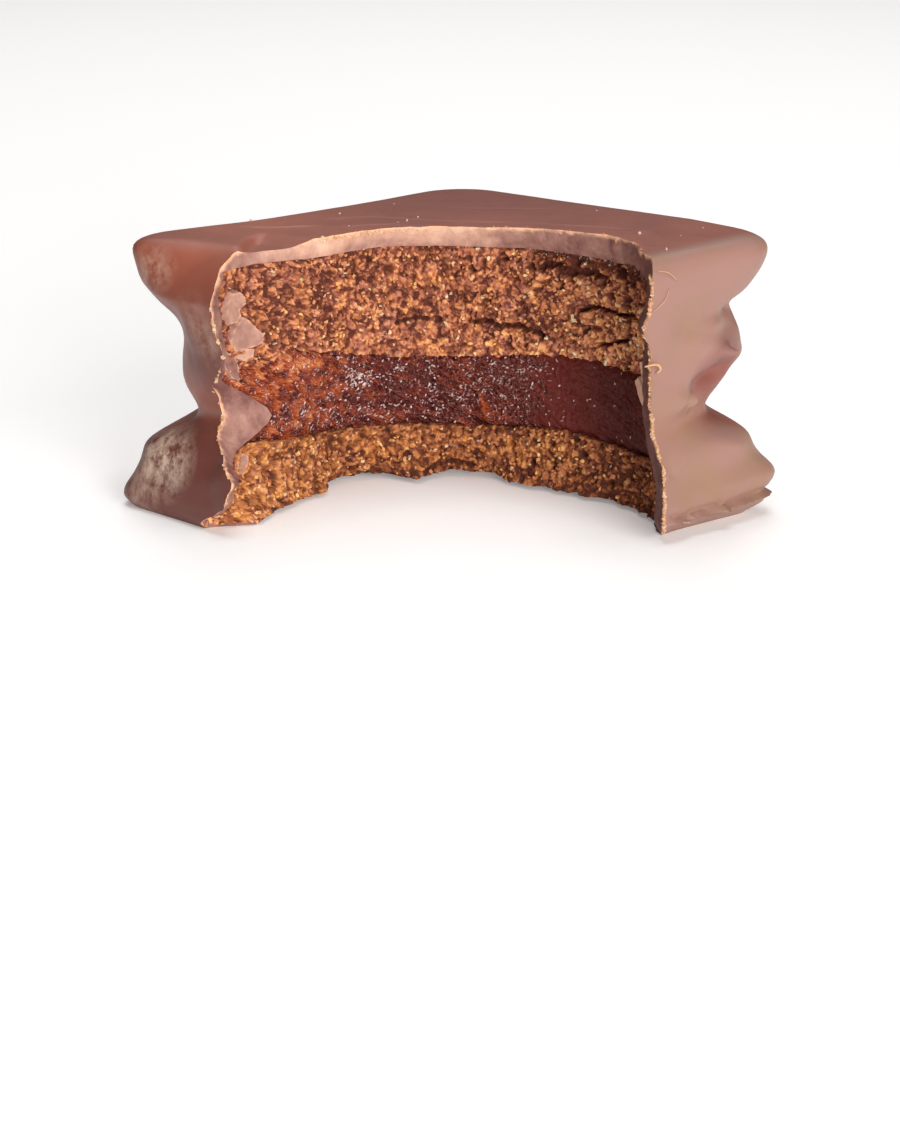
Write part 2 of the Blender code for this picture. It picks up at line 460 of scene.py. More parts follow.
def milkChocolate():
    look = chocolateLook
    material, tree, shader = newMaterial("milkChocolate", look["plain"], 0.45, specular=0.32)
    clouds = objectNoise(tree, 85.0, detail=3.0)
    plain = addRamp(tree, clouds.outputs["Fac"], (
        (0.30, look["dark"]), (0.5, look["plain"]), (0.72, look["light"]),
    ))
    # painted shade: the coat darkens towards its far side
    far = along(tree, (-0.45, 0.89, 0.0), 0.002, 0.027)
    colour = mixColour(tree, "MIX", far, plain.outputs["Color"], look["far"])
    # painted shade: the front wall darkens towards its foot
    shade = multiply(tree, along(tree, (0, -1, 0), 0.0215, 0.0248), along(tree, (0, 0, 1), 0.030, 0.018))
    colour = mixColour(tree, "MIX", shade, colour, look["shade"])
    # painted sheen over the +X wall, with painted shade in its hollow
    veils = objectNoise(tree, 120.0, detail=2.0)
    paintedSheenTone = addRamp(tree, veils.outputs["Fac"], ((0.38, look["paintedSheenWarm"]), (0.56, look["paintedSheen"])))
    hollow = multiply(tree, patch(tree, look["hollow"], look["hollowRadius"]), 2.2)
    paintedSheenColour = mixColour(tree, "MIX", hollow, paintedSheenTone.outputs["Color"], look["paintedHollowShade"])
    paintedSheen = along(tree, (1, 0, 0), look["paintedSheenFrom"], look["paintedSheenTo"])
    colour = mixColour(tree, "MIX", paintedSheen, colour, paintedSheenColour)
    streaks = objectNoise(tree, 620.0, detail=6.0, roughness=0.75, stretch=(1.0, 1.0, 0.75))
    speckled = addRange(tree, streaks.outputs["Fac"], 0.40, 0.64)
    for centre, radius, strength in look["blooms"]:
        spot = multiply(tree, patch(tree, centre, radius), speckled)
        colour = mixColour(tree, "MIX", multiply(tree, spot, strength), colour, look["bloom"])
    tree.links.new(colour, shader.inputs["Base Color"])
    gloss = objectNoise(tree, 260.0, detail=3.0)
    roughness = addRange(tree, gloss.outputs["Fac"], 0.3, 0.7, *look["roughness"])
    tree.links.new(roughness, shader.inputs["Roughness"])
    addBump(tree, shader, objectNoise(tree, 1600.0, detail=3.0).outputs["Fac"], 0.08, 0.0002)
    return material


# the broken chocolate, from dark mauve to pale tan
breakStops = (
    (0.00, (0.100, 0.045, 0.038)),
    (0.25, (0.190, 0.078, 0.068)),
    (0.55, (0.400, 0.210, 0.165)),
    (0.80, (0.620, 0.350, 0.250)),
    (1.00, (0.760, 0.500, 0.360)),
)
# painted highlight along the break's thin outer edge
paintedRimHighlight = (0.90, 0.50, 0.31)


def brokenChocolate():
    # coloured by each point's own tone, with a painted highlight along the thin outer edge
    material, tree, shader = newMaterial("brokenChocolate", (0.42, 0.22, 0.14), 0.55, specular=0.14)
    clouds = objectNoise(tree, 700.0, detail=6.0, roughness=0.65)
    face = addRamp(tree, driftingTone(tree, "breakTone", clouds, 0.3, 0.7, 0.14), breakStops)
    rim = pointValue(tree, "nearSkin")
    colour = mixColour(tree, "MIX", rim, face.outputs["Color"], paintedRimHighlight)
    tree.links.new(colour, shader.inputs["Base Color"])
    grain = objectNoise(tree, 2600.0, detail=4.0, roughness=0.7)
    addBump(tree, shader, grain.outputs["Fac"], 0.4, 0.0003)
    return material


def crumbMaterial(name, stops):
    # coloured by each point's own tone, drifting between mauve and golden from clump to clump
    material, tree, shader = newMaterial(name, stops[1][1], 0.85, specular=0.18)
    mottle = objectNoise(tree, 2300.0, detail=4.0, roughness=0.7)
    crumb = addRamp(tree, driftingTone(tree, "crumbTone", mottle, 0.25, 0.75, 0.10), stops)
    drift = objectNoise(tree, 640.0, detail=4.0, roughness=0.65)
    tint = addRamp(tree, drift.outputs["Fac"], crumbTints)
    colour = mixColour(tree, "MULTIPLY", 1.0, crumb.outputs["Color"], tint.outputs["Color"])
    tree.links.new(colour, shader.inputs["Base Color"])
    addBump(tree, shader, mottle.outputs["Fac"], 0.6, 0.0002)
    return material


# crumb of the lid and of the base, from dark to pale, and the tints that drift over both
crumbStops = (
    (0.00, (0.120, 0.034, 0.020)),
    (0.25, (0.320, 0.104, 0.056)),
    (0.45, (0.580, 0.222, 0.104)),
    (0.60, (0.740, 0.335, 0.150)),
    (0.76, (0.850, 0.490, 0.210)),
    (1.00, (0.920, 0.720, 0.430)),
)
baseStops = (
    (0.00, (0.110, 0.032, 0.017)),
    (0.25, (0.300, 0.098, 0.036)),
    (0.45, (0.490, 0.188, 0.066)),
    (0.60, (0.610, 0.268, 0.090)),
    (0.76, (0.720, 0.385, 0.145)),
    (1.00, (0.840, 0.630, 0.320)),
)
crumbTints = (
    (0.32, (0.64, 0.62, 0.84)),
    (0.43, (0.92, 0.88, 0.98)),
    (0.56, (1.00, 0.97, 0.88)),
    (0.70, (1.00, 0.96, 0.66)),
)

caramelStops = (
    (0.00, (0.050, 0.007, 0.006)),
    (0.35, (0.130, 0.021, 0.016)),
    (0.65, (0.400, 0.072, 0.022)),
    (1.00, (0.680, 0.240, 0.090)),
)


def caramelMaterial(name, roughness, specular, grit):
    # caramel whose fine bumps are drawn out on the slant
    material, tree, shader = newMaterial(name, caramelStops[1][1], roughness, specular=specular)
    ramp = addRamp(tree, pointValue(tree, "caramelTone"), caramelStops)
    tree.links.new(ramp.outputs["Color"], shader.inputs["Base Color"])
    slant = addNode(tree, "ShaderNodeAttribute", attribute_name="slant")
    bumps = addNode(
        tree, "ShaderNodeTexNoise", [(slant.outputs["Vector"], "Vector")],
        Scale=1.9, Detail=1.0, Roughness=0.6,
    )
    addBump(tree, shader, bumps.outputs["Fac"], grit, 0.0010)
    return material


# the coat: steps, the spacing of its rings, and how it waves, chips and breaks, in metres
coatValues = {
    "steps": 360,
    "wallGap": 0.00036,
    "topGap": 0.00030,
    "footGap": 0.00022,
    "baseGap": 0.0014,
    "waveSize": 0.0052,
    "waveDepth": 0.00028,
    "swellDepth": 0.00045,
    "rippleSize": 0.0021,
    "rippleDepth": 0.00011,
    "topWave": 0.00010,
    "standsProud": -0.0004,
    "chipSize": 0.0016,
    "chipDepth": 0.00030,
    "fractureSize": 0.00045,
    "fractureDepth": 0.00007,
    "rimWide": 0.00050,
    "arcSteps": 360,
    "lean": 0.0017,
    "innerHalf": 0.018,     # the forms of the walls fade out inside this half width
    "swellSize": 0.0105,
    "swellFrom": 0.015,     # the broad swell shows on the +X wall only
    "cornerLift": 0.0005,
    "topWaveSize": 0.011,
    "hollowSteps": 144,
    "hollowWave": 0.0002,
    "hollowWaveSize": 0.003,
}
topLevel = coatForm["rings"][-1][0]
aboveTop = 0.031            # any height past the last of coatForm["topRise"]

# small forms of the walls, laid over the big ones: bearing, height, half spread of each, push
coatDetails = (
    (31.0, 0.0232, 3.2, 0.0009, 0.0005),
    (32.8, 0.0200, 1.5, 0.0006, 0.0017),
    (26.5, 0.0168, 4.0, 0.0018, 0.0011),
    (30.0, 0.0186, 1.8, 0.0012, 0.0006),
    (36.0, 0.0177, 4.2, 0.0013, -0.0018),
    (42.0, 0.0186, 4.0, 0.0014, 0.0006),
    (32.4, 0.0191, 1.2, 0.0006, 0.0006),
    (28.8, 0.0146, 1.0, 0.0008, 0.0006),
    (31.3, 0.0022, 1.6, 0.0005, 0.0010),
    (18.4, 0.0076, 0.9, 0.0004, 0.0004),
    (24.5, 0.0152, 3.0, 0.0015, 0.0007),
    (28.8, 0.0150, 0.9, 0.0009, 0.0005),
    (20.4, 0.0074, 0.9, 0.0004, -0.0004),
    (37.5, 0.0245, 4.0, 0.0008, -0.0006),
    (18.0, 0.0225, 4.0, 0.0020, 0.0004),
    (239.0, 0.0215, 4.5, 0.0022, 0.0007),
    (243.0, 0.0150, 4.0, 0.0016, -0.0005),
    (233.0, 0.0238, 4.0, 0.0012, -0.0004),
    (246.0, 0.0075, 3.5, 0.0018, -0.0004),
)

# marks of the finishing on the top, in mm: the line along it, half width, depth
topMarks = (
    (((-22.4, -11.4), (-19.9, -9.2), (-18.1, -7.1), (-16.2, -4.9)), 0.34, 0.15),
    (
        ((-19.3, -2.1), (-18.1, 0.3), (-16.7, 2.6), (-12.1, 4.5), (-8.0, 6.1), (-4.1, 8.4), (-0.9, 10.5)),
        0.30, 0.09,
    ),
    (((-13.8, -4.6), (-12.6, -1.4), (-10.6, 1.2), (-6.7, 2.2), (-1.3, 6.3)), 0.30, 0.08),
    (((-13.3, 12.6), (-8.9, 16.1), (-3.2, 20.3)), 0.40, 0.05),
    (((0.8, 11.5), (4.8, 12.6), (9.0, 14.4), (12.9, 15.5)), 0.30, 0.08),
    (((14.4, 15.5), (17.0, 13.6), (19.8, 11.2)), 0.60, 0.12),
)

# the torn shelf beside the bite at the left: bearing and reach of its far edge in mm, drop in mm
shelfForm = {
    "edge": ((140.0, 28.4), (149.0, 26.9), (159.0, 25.0), (167.0, 24.7), (190.0, 24.9)),
    "drop": 0.75,
    "slope": 1.5,
    "fade": 8.0,
}

# how the broken edge wanders from the bite: bearing across the bite, height, half spread of each, push
edgeWander = (
    (180.0, 0.0200, 9.0, 0.0018, -0.0010),
    (178.0, 0.0240, 9.0, 0.0040, 0.0004),
    (173.0, 0.0118, 9.0, 0.0036, 0.0026),
    (181.0, 0.0062, 8.0, 0.0010, -0.0012),
    (178.0, 0.0008, 9.0, 0.0012, 0.0010),
    (168.0, 0.0158, 4.0, 0.0009, 0.0012),
    (-2.0, 0.0243, 14.0, 0.0017, -0.0012),
    (190.0, 0.0090, 8.0, 0.0060, 0.0014),
    (356.0, 0.0085, 9.0, 0.0050, 0.0006),
    (354.0, 0.0285, 8.0, 0.0030, -0.0005),
    (90.0, 0.0000, 72.0, 0.0012, 0.0034),
    (78.0, 0.0314, 42.0, 0.0024, -0.0019),
)

# how pale the broken chocolate is: bearing across the bite, height, half spread of each, change of tone;
# along the whole right edge the darkening is painted shade
breakPatches = (
    (138.0, 0.0300, 24.0, 0.0022, 0.52),
    (92.0, 0.0305, 22.0, 0.0022, 0.62),
    (36.0, 0.0308, 24.0, 0.0022, 0.12),
    (162.0, 0.0270, 6.0, 0.0016, 0.10),
    (168.0, 0.0225, 9.0, 0.0050, 0.14),
    (166.0, 0.0108, 10.0, 0.0030, 0.20),
    (172.0, 0.0136, 8.0, 0.0012, -0.12),
    (171.0, 0.0150, 5.0, 0.0010, -0.30),
    (172.0, 0.0062, 5.0, 0.0010, -0.12),
    (174.0, 0.0030, 10.0, 0.0020, 0.16),
    # painted shade along the whole right edge
    (0.0, 0.0150, 16.0, 0.0300, -0.22),
)

# how far each corner stands out from the plain rings: height and push in mm
cornerTrims = {
    45.0: (
        (-1.0, 0.0), (0.8, 0.30), (1.8, -0.40), (2.7, -0.45), (3.7, -0.60), (4.6, -0.10), (5.6, -0.10),
        (6.5, 0.10), (7.4, 0.34), (8.3, 0.22), (9.3, 0.0), (10.2, -0.45), (11.1, -0.85), (12.0, -0.67),
        (12.9, 0.05), (13.8, -0.10), (14.8, 0.33), (15.7, 0.67), (16.6, 0.25), (17.5, -0.40), (18.5, -0.95),
        (19.4, -1.05), (20.3, -0.62), (21.2, 0.28), (22.1, 0.44), (23.0, 0.05), (23.9, -0.33), (24.8, -0.52),
        (25.7, -0.44), (26.6, -0.28), (27.5, 0.05), (28.4, -0.10), (29.3, -0.10), (33.0, 0.0),
    ),
    225.0: (
        (-1.0, 0.3), (0.9, 0.30), (2.8, 0.05), (4.7, 0.12), (5.7, 0.34), (6.6, 0.68), (7.6, 0.88),
        (8.5, 0.34), (9.5, -0.34), (10.4, -1.10), (11.4, -0.30), (12.3, 0.40), (13.2, 0.75), (14.2, 0.79),
        (15.1, 0.68), (16.0, 0.56), (16.9, 0.34), (17.8, 0.22), (19.7, 0.0), (22.4, -0.10), (23.3, 0.30),
        (25.1, 0.24), (27.8, 0.33), (28.7, 0.45), (29.6, 0.80), (33.0, 0.80),
    ),
}


def cornerTrim(degrees, height):
    # averaged over a few heights, so that the trims bend rather than fold
    push = 0.0
    for centre, rows in cornerTrims.items():
        turn = turnBetween(degrees, centre)
        if abs(turn) < 30.0:
            around = [tableAt(rows, height / mm + offset)[0] for offset in (-0.7, -0.35, 0.0, 0.35, 0.7)]
            push += sum(around) / len(around) * bell(turn, 9.0) * mm
    return push


def coatProfile():
    # rings from the middle of the base, up the wall and in to the middle of the top
    path = [(0.0, 0.0015, 0.0010), (0.0, 0.0150, 0.0020)]
    path += list(coatForm["rings"])
    path += [(topLevel, 0.0120, 0.0050), (topLevel, 0.0012, 0.0008)]
    points = []
    for low, high in zip(path, path[1:]):
        length = math.hypot(high[0] - low[0], high[1] - low[1])
        gap = coatValues["wallGap"]
        if high[0] == 0.0:
            gap = coatValues["baseGap"]
        elif low[0] > topLevel - 0.0001:
            gap = coatValues["topGap"]
        elif high[0] < 0.0045:
            gap = coatValues["footGap"]
        count = max(1, round(length / gap))
        for step in range(count):
            share = step / count
            points.append([a + share * (b - a) for a, b in zip(low, high)])
    points.append(list(path[-1]))
    # the path's corners are rounded, above the flat base
    fixed = sum(1 for point in points if point[0] < 1e-6)
    for _ in range(6):
        before = [list(point) for point in points]
        for place in range(fixed + 1, len(points) - 1):
            around = zip(before[place - 1], before[place], before[place + 1])
            points[place] = [(a + 2 * b + c) / 4 for a, b, c in around]
    return points


def lineGap(x, y, line):
    return min(segmentGap(x, y, a, b) for a, b in zip(line, line[1:]))


def acrossBite(x, y, unit=1.0):
    # a spot in the bite's own axes: along it and away from its corner
    return (x + y) * diagonal - biteForm["along"] / unit, (y - x) * diagonal - biteForm["deep"] / unit


def topDetail(x, y):
    # how far the finishing marks and the torn shelf lower the top at a spot
    x, y = x / mm, y / mm
    drop = 0.0
    for line, wide, deep in topMarks:
        if min(spot[0] for spot in line) - 2 < x < max(spot[0] for spot in line) + 2:
            gap = lineGap(x, y, line)
            if gap < 3 * wide:
                ends = min(math.hypot(x - endX, y - endY) for endX, endY in (line[0], line[-1]))
                drop += deep * bell(gap, wide) * ease(0.25 + ends / 3.0)
                drop -= 0.35 * deep * bell(gap - 1.9 * wide, wide * 0.7)
    along, deep = acrossBite(x, y, mm)
    bearing = math.degrees(math.atan2(deep, along)) % 360.0
    edge = shelfForm["edge"]
    if edge[0][0] < bearing < edge[-1][0]:
        inside = tableAt(edge, bearing)[0] - math.hypot(along, deep)
        fade = ease((bearing - edge[0][0]) / shelfForm["fade"])
        drop += shelfForm["drop"] * ease(inside / shelfForm["slope"]) * fade
    return drop * mm


# the edge of the top is worn round beside the bite's left end: how far out and up, radius,
# how far along +X, between which bearings, and how far inside it the hollow and the layers stay
shoulderForm = {
    "out": 0.0262,
    "top": 0.0308,
    "round": 0.0088,
    "upTo": 0.006,
    "turns": (226.0, 290.0),
    "fade": 12.0,
    "hollowInset": 0.0011,
    "layerInset": 0.0007,
}


def shoulderGap(x, y, z):
    # how deep a spot lies inside the worn edge, and its step out from the edge's axis
    across = -y - (shoulderForm["out"] - shoulderForm["round"])
    rise = z - (shoulderForm["top"] - shoulderForm["round"])
    if across <= 0.0 or rise <= 0.0 or x > shoulderForm["upTo"]:
        return 1.0, 0.0, 0.0
    return shoulderForm["round"] - math.hypot(across, rise), across, rise


def softShoulder(place, degrees, inset=0.0):
    # moves a spot that stands past the worn edge back onto it
    first, last = shoulderForm["turns"]
    share = ease((degrees - first) / shoulderForm["fade"]) * ease((last - degrees) / shoulderForm["fade"])
    gap, across, rise = shoulderGap(place.x, place.y, place.z)
    if share > 0.0 and gap < inset:
        shrink = share * (inset - gap) / (shoulderForm["round"] - gap)
        place.y += across * shrink
        place.z -= rise * shrink


def coatSurface(bearing, height, half, corner):
    degrees = math.degrees(bearing)
    reach = squareReach(bearing, half, corner)
    edge = ease((half - coatValues["innerHalf"]) / 0.006)
    reach += lumpPush(coatForm["lumps"], degrees, height) * edge
    reach += (lumpPush(coatDetails, degrees, height) + cornerTrim(degrees, height)) * edge
    place = Vector((reach * math.cos(bearing), reach * math.sin(bearing), height))
    wall = ease((0.0292 - height) / 0.0025) * ease(height / 0.0015)
    wave = ripple(place, coatValues["waveSize"]) * coatValues["waveDepth"]
    swell = ripple(place, coatValues["swellSize"], 5.0) * coatValues["swellDepth"]
    wave += swell * ease((place.x - coatValues["swellFrom"]) / 0.006)
    wave += ripple(place, coatValues["rippleSize"], 3.0) * coatValues["rippleDepth"]
    push = wave * (0.25 + 0.75 * wall) * edge
    place.x += push * math.cos(bearing)
    place.y += push * math.sin(bearing)
    place.z += topRise(place.x, height)
    rim = ease((height - 0.0270) / 0.0025) * ease((reach - 0.0200) / 0.0120)
    place.z += coatValues["cornerLift"] * rim * bell(turnBetween(degrees, 225.0), 20.0)
    if height > topLevel - 0.0005:
        place.z += ripple((place.x, place.y, 0.0), coatValues["topWaveSize"], 7.0) * coatValues["topWave"]
        place.z -= topDetail(place.x, place.y)
    softShoulder(place, degrees)
    lip = footLip(degrees, height)
    place.x += lip * math.cos(bearing)
    place.y += lip * math.sin(bearing)
    return place


# the ragged lip that the chocolate left round the foot of the +X wall, and the groove over it
lipForm = {
    "upTo": 0.0045,
    "turns": (14.0, 50.0),
    "level": 0.0021,
    "out": 0.0012,
    "tall": 0.00024,
    "groove": 0.0004,
    "grooveUp": 0.0007,
    "grooveTall": 0.00030,
}


def footLip(degrees, height):
    # how far the lip stands out at a spot of the wall
    first, last = lipForm["turns"]
    share = ease((degrees - first) / 6.0) * ease((last - degrees) / 5.0)
    if height > lipForm["upTo"] or share <= 0.0:
        return 0.0
    level = lipForm["level"] + 0.00035 * noise.noise((degrees / 4.0, 2.0, 0.0))
    level += 0.0002 * noise.noise((degrees / 1.3, 5.0, 0.0))
    torn = 0.55 + 0.6 * noise.noise((degrees / 0.9, 7.0, 0.0)) + 0.4 * noise.noise((degrees / 2.6, 9.0, 0.0))
    groove = lipForm["groove"] * bell(height - level - lipForm["grooveUp"], lipForm["grooveTall"])
    return share * (lipForm["out"] * max(torn, 0.15) * bell(height - level, lipForm["tall"]) - groove)


def breakReach(bearing, height):
    # the bite's reach where it breaks the coat, which stands proud of the layers and is chipped
    return biteReach(bearing, height) + coatValues["standsProud"] + coatChips(bearing, height)


def biteCutter(broken):
    # the bite's arch, carried on past both ends, and the runs that lead out past the bitten corner
    heights = spacedHeights(
        (-0.0020, 0.0, 0.0010), (0.0, 0.0275, 0.00042), (0.0275, 0.0320, 0.00022), (0.0320, 0.0340, 0.0010),
    )
    arcSteps = coatValues["arcSteps"]
    first, last = -12.0, 192.0
    far = 0.06
    corners = ((-far, -far), (0.0, -far), (far, -far))
    steps = arcSteps + len(corners) + 1

    def place(station, level):
        height = heights[level]
        if station > arcSteps:
            return bitePoint(*corners[station - arcSteps - 1], height)
        bearing = first + (last - first) * station / arcSteps
        return arcPoint(bearing, breakReach(bearing, height), height)

    tube = spunTube(steps, len(heights) - 1)
    shapeTube(tube, steps, place)
    return finishPiece("biteCutter", tube, [broken], None)


def leanOut(bearing):
    # how far the break leans outwards past each end of the bite, which turns its face to the front
    right = coatValues["lean"] * (max(11.0 - bearing, 0.0) / 14.0) ** 1.2
    left = coatValues["lean"] * (max(bearing - 174.0, 0.0) / 14.0) ** 1.3
    return right + left - 0.0008 * ease((20.0 - bearing) / 12.0)


def coatChips(bearing, height):
    wander = lumpPush(edgeWander, bearing % 360.0, height) + leanOut(bearing)
    point = arcPoint(bearing, biteReach(bearing, height), height)
    chips = ripple(point, coatValues["chipSize"], 11.0) * coatValues["chipDepth"]
    fine = ripple(point, coatValues["fractureSize"], 5.0) * coatValues["fractureDepth"]
    return wander + chips + fine


def spacedHeights(*runs):
    # (start, end, gap) runs of levels, one after another
    heights = []
    for start, end, gap in runs:
        count = max(1, round((end - start) / gap))
        heights += [start + (end - start) * step / count for step in range(count)]
    return heights + [runs[-1][1]]


def breakTone(bearing, height):
    # 0 is dark mauve, 1 pale tan; the foot of the bite is darkened with painted shade
    tone = 0.30 + lumpPush(breakPatches, bearing, height)
    return tone * ease((height + 0.0004) / 0.0020 + 1.2 * ease((bearing - 160.0) / 8.0))


def markEdge(mesh):
    # how near each point of the break lies to the coat's outer skin, which places the painted highlight along
    # the rim, and how pale it is
    near = mesh.attributes.new("nearSkin", "FLOAT", "POINT")
    pale = mesh.attributes.new("breakTone", "FLOAT", "POINT")
    for vert in mesh.vertices:
        x, y, z = vert.co
        bearing = math.atan2(y, x)
        half, corner = tableAt(coatForm["rings"], z - topRise(x, z))
        degrees = math.degrees(bearing) % 360.0
        skin = squareReach(bearing, half, corner) + lumpPush(coatForm["lumps"] + coatDetails, degrees, z)
        skin += cornerTrim(degrees, z)
        depth = min(skin - math.hypot(x, y), topLevel + topRise(x, z) - z, shoulderGap(x, y, z)[0] - 0.0002)
        ragged = 0.7 * ripple(vert.co, 0.0009, 9.0) + 0.4 * ripple(vert.co, 0.0004, 3.0)
        rim = ease(1.0 + ragged - depth / coatValues["rimWide"])
        near.data[vert.index].value = rim * ease((z - 0.0004) / 0.0008)
        pale.data[vert.index].value = breakTone(wholeBearing(x, y), z) + 0.10 * ripple(vert.co, 0.0016, 4.0)


def hollowCutter(broken):
    # the room for the layers inside the coat, up to the underside of the top
    heights = spacedHeights((0.0008, 0.0284, 0.0009))
    steps = coatValues["hollowSteps"]

    def place(station, level):
        height = heights[level]
        bearing = math.tau * station / steps
        reach = hollowReach(math.degrees(bearing), height)
        spot = Vector((reach * math.cos(bearing), reach * math.sin(bearing), height))
        reach += coatValues["hollowWave"] * ripple(spot, coatValues["hollowWaveSize"], 2.0)
        across = biteBearing(spot.x, spot.y)
        roof = boundary("hollowRoof", across, 0.0) - heights[-1]
        floor = boundary("biscuitBase", across, 0.0) - heights[0]
        height += roof * ease((height - 0.020) / 0.0084) + floor * ease((0.0030 - height) / 0.0022)
        spot = Vector((reach * math.cos(bearing), reach * math.sin(bearing), height))
        softShoulder(spot, math.degrees(bearing), shoulderForm["hollowInset"])
        return spot

    tube = spunTube(steps, len(heights) - 1)
    shapeTube(tube, steps, place)
    return finishPiece("hollowCutter", tube, [broken], None)


def makeCoat(outside, broken):
    profile = coatProfile()
    steps = coatValues["steps"]

    def place(station, level):
        height, half, corner = profile[level]
        return coatSurface(math.tau * station / steps, height, half, corner)

    shell = spunTube(steps, len(profile) - 1)
    shapeTube(shell, steps, place)
    coat = finishPiece("chocolateCoat", shell, [outside, broken], "milk_chocolate", "chocolate_coat")
    carve(coat, hollowCutter(broken))
    carve(coat, biteCutter(broken))
    markEdge(coat.data)
    coat.data.set_sharp_from_angle(angle=math.radians(40))
    print("coat carved:", len(coat.data.polygons), "faces")


# where the chocolate runs in thicker behind the flap at the left of the bite
hollowDetails = (
    (239.0, 0.0135, 9.0, 0.0022, -0.0018),
    (233.0, 0.0100, 7.0, 0.0024, -0.0010),
    (16.0, 0.0150, 8.0, 0.0200, -0.0006),
)

# heights of the boundaries along the bite: bearing across the bite, height in mm
boundaryHeights = {
    "coatUnder": ((0, 28.9), (20, 28.9), (40, 28.9), (60, 28.8), (90, 28.7), (118, 28.8), (143, 29.2),
                  (158, 29.1), (163, 28.9), (168, 28.4), (172, 27.8), (176, 26.9), (180, 26.0)),
    "hollowRoof": ((0, 28.9), (40, 28.9), (60, 28.8), (90, 28.7), (118, 28.8), (143, 29.2), (180, 29.2)),
    "fillingTop": (
        (0, 17.0), (19, 17.0), (29, 16.4), (43, 16.8), (63, 16.2), (85, 15.4),
        (107, 15.2), (125, 16.6), (145, 18.2), (152, 17.4), (160, 17.0), (180, 17.0),
    ),
    "fillingBase": (
        (0, 7.2), (14, 7.2), (28, 6.8), (38, 7.0), (55, 7.6), (84, 6.4),
        (106, 6.6), (126, 6.8), (154, 8.4), (168, 9.2), (180, 8.2),
    ),
    "crustLine": ((0, 27.3), (30, 27.6), (60, 27.9), (180, 28.3)),
    "biscuitBase": ((0, 0.7), (30, 0.5), (60, 0.5), (90, 0.7), (130, 0.5), (180, 0.5)),
}

# how the layers' walls are worked: steps round them, then sizes in mm; the last two are in metres
crumbValues = {
    "wallSteps": 560,
    "outerSteps": 90,
    "rowGap": 0.12,
    "clumpSize": 1.30,
    "clumpDepth": 0.42,
    "grainSize": 0.44,
    "grainDepth": 0.26,
    "fineSize": 0.24,
    "fineDepth": 0.10,
    "waveSize": 3.4,
    "waveDepth": 0.30,
    "holeDepth": 0.40,
    "raggedSize": 1.1,
    "raggedFine": 0.45,
    "raggedDepth": 0.32,
    "biteRadius": 21.0,
    "intoCoat": 0.00018,
    "capInsets": (0.0001, 0.0003, 0.0007, 0.0014),
}
degreeRun = 0.365           # mm along the bite's wall for one degree of bearing

# a biscuit's lower and upper boundary, with how ragged it is and its step in metres; height in mm;
# cracks as points (bearing across the bite, height in mm), half width and depth in mm; open pores
# as bearing, height, radius and depth in mm; shades as change of tone, bearing and height in mm
# that it starts from, each with the run over which it grows (a minus sign: towards lower values)
lidValues = {
    "low": ("fillingTop", 1.0, 0.0),
    "high": ("coatUnder", 0.6, 0.0),
    "tall": 12.4,
    "seed": 0.0,
    "cracks": (
        (((84, 19.5), (80, 19.7), (76, 19.2), (70, 19.3), (66, 18.9), (62, 18.4)), 0.26, 1.1),
        (((49, 21.9), (45, 22.6), (41, 22.9), (34, 22.6), (27, 22.9), (21, 22.7)), 0.22, 1.0),
        (((41, 18.7), (36, 19.0), (32, 19.7), (29, 20.0)), 0.22, 1.0),
        (((33.5, 28.6), (31, 27), (29.5, 25.6), (28.4, 24), (28.2, 22.4), (29, 19.6)), 0.42, 1.9),
        (((108, 19.4), (102, 20.0), (97, 19.6)), 0.20, 0.7),
        (((63, 26.4), (58, 26.9), (52, 26.3), (45, 26.7), (38, 26.2)), 0.45, 0.9),
        (((28, 18.3), (29, 16.8)), 0.30, 0.9),
    ),
    "pores": (
        (111, 25.8, 0.75, 0.9), (106, 22.0, 0.45, 0.5), (55, 24.8, 0.55, 0.7), (40, 26.0, 0.70, 0.9),
        (133, 19.8, 0.60, 0.7), (85, 25.6, 0.50, 0.6), (66, 26.2, 0.60, 0.8), (45, 20.2, 0.45, 0.6),
        (117, 26.9, 0.50, 0.7), (75, 27.2, 0.55, 0.7), (50, 27.4, 0.70, 0.9), (26, 26.6, 0.60, 0.9),
        (148, 24.4, 0.45, 0.5), (95, 17.6, 0.45, 0.5), (124, 22.6, 0.40, 0.5), (36, 24.6, 0.50, 0.7),
    ),
    # painted light and shade in the first four: darker to the left, lighter to the right, darker high on the
    # right under the coat (there partly the crust's own colour); the last lightens the wall low down from
    # bearing 20 on
    "shades": (
        (-0.07, 105, 40, -9, 1),
        (0.13, 62, -30, -9, 1),
        (-0.30, 74, -16, 26.2, 1.6),
        (-0.10, 60, -20, 23.5, 2.5),
        (0.08, 20, 30, 18.6, -1.6),
    ),
}
baseValues = {
    "low": ("biscuitBase", 0.7, 0.0),
    "high": ("fillingBase", 0.8, 0.0),
    "tall": 6.0,
    "seed": 40.0,
    "cracks": (
        (((99, 1.2), (92, 2.0), (86, 1.5)), 0.30, 0.7),
        (((60, 4.9), (57, 3.9), (58, 3.0)), 0.22, 0.6),
    ),
    "pores": (
        (73, 4.8, 0.45, 0.6), (66, 3.2, 0.55, 0.7), (48, 5.4, 0.50, 0.7), (120, 4.4, 0.40, 0.5),
        (97, 5.0, 0.40, 0.5), (38, 2.6, 0.55, 0.8), (84, 3.4, 0.45, 0.6), (30, 4.4, 0.45, 0.6),
    ),
    # painted light and shade in the first two: lighter to the left, darker to the right; the last darkens the
    # foot, short of the left end
    "shades": (
        (0.05, 110, 40, -9, 1),
        (-0.15, 62, -30, -9, 1),
        (-0.22, 140, -25, 2.4, -1.8),
    ),
}


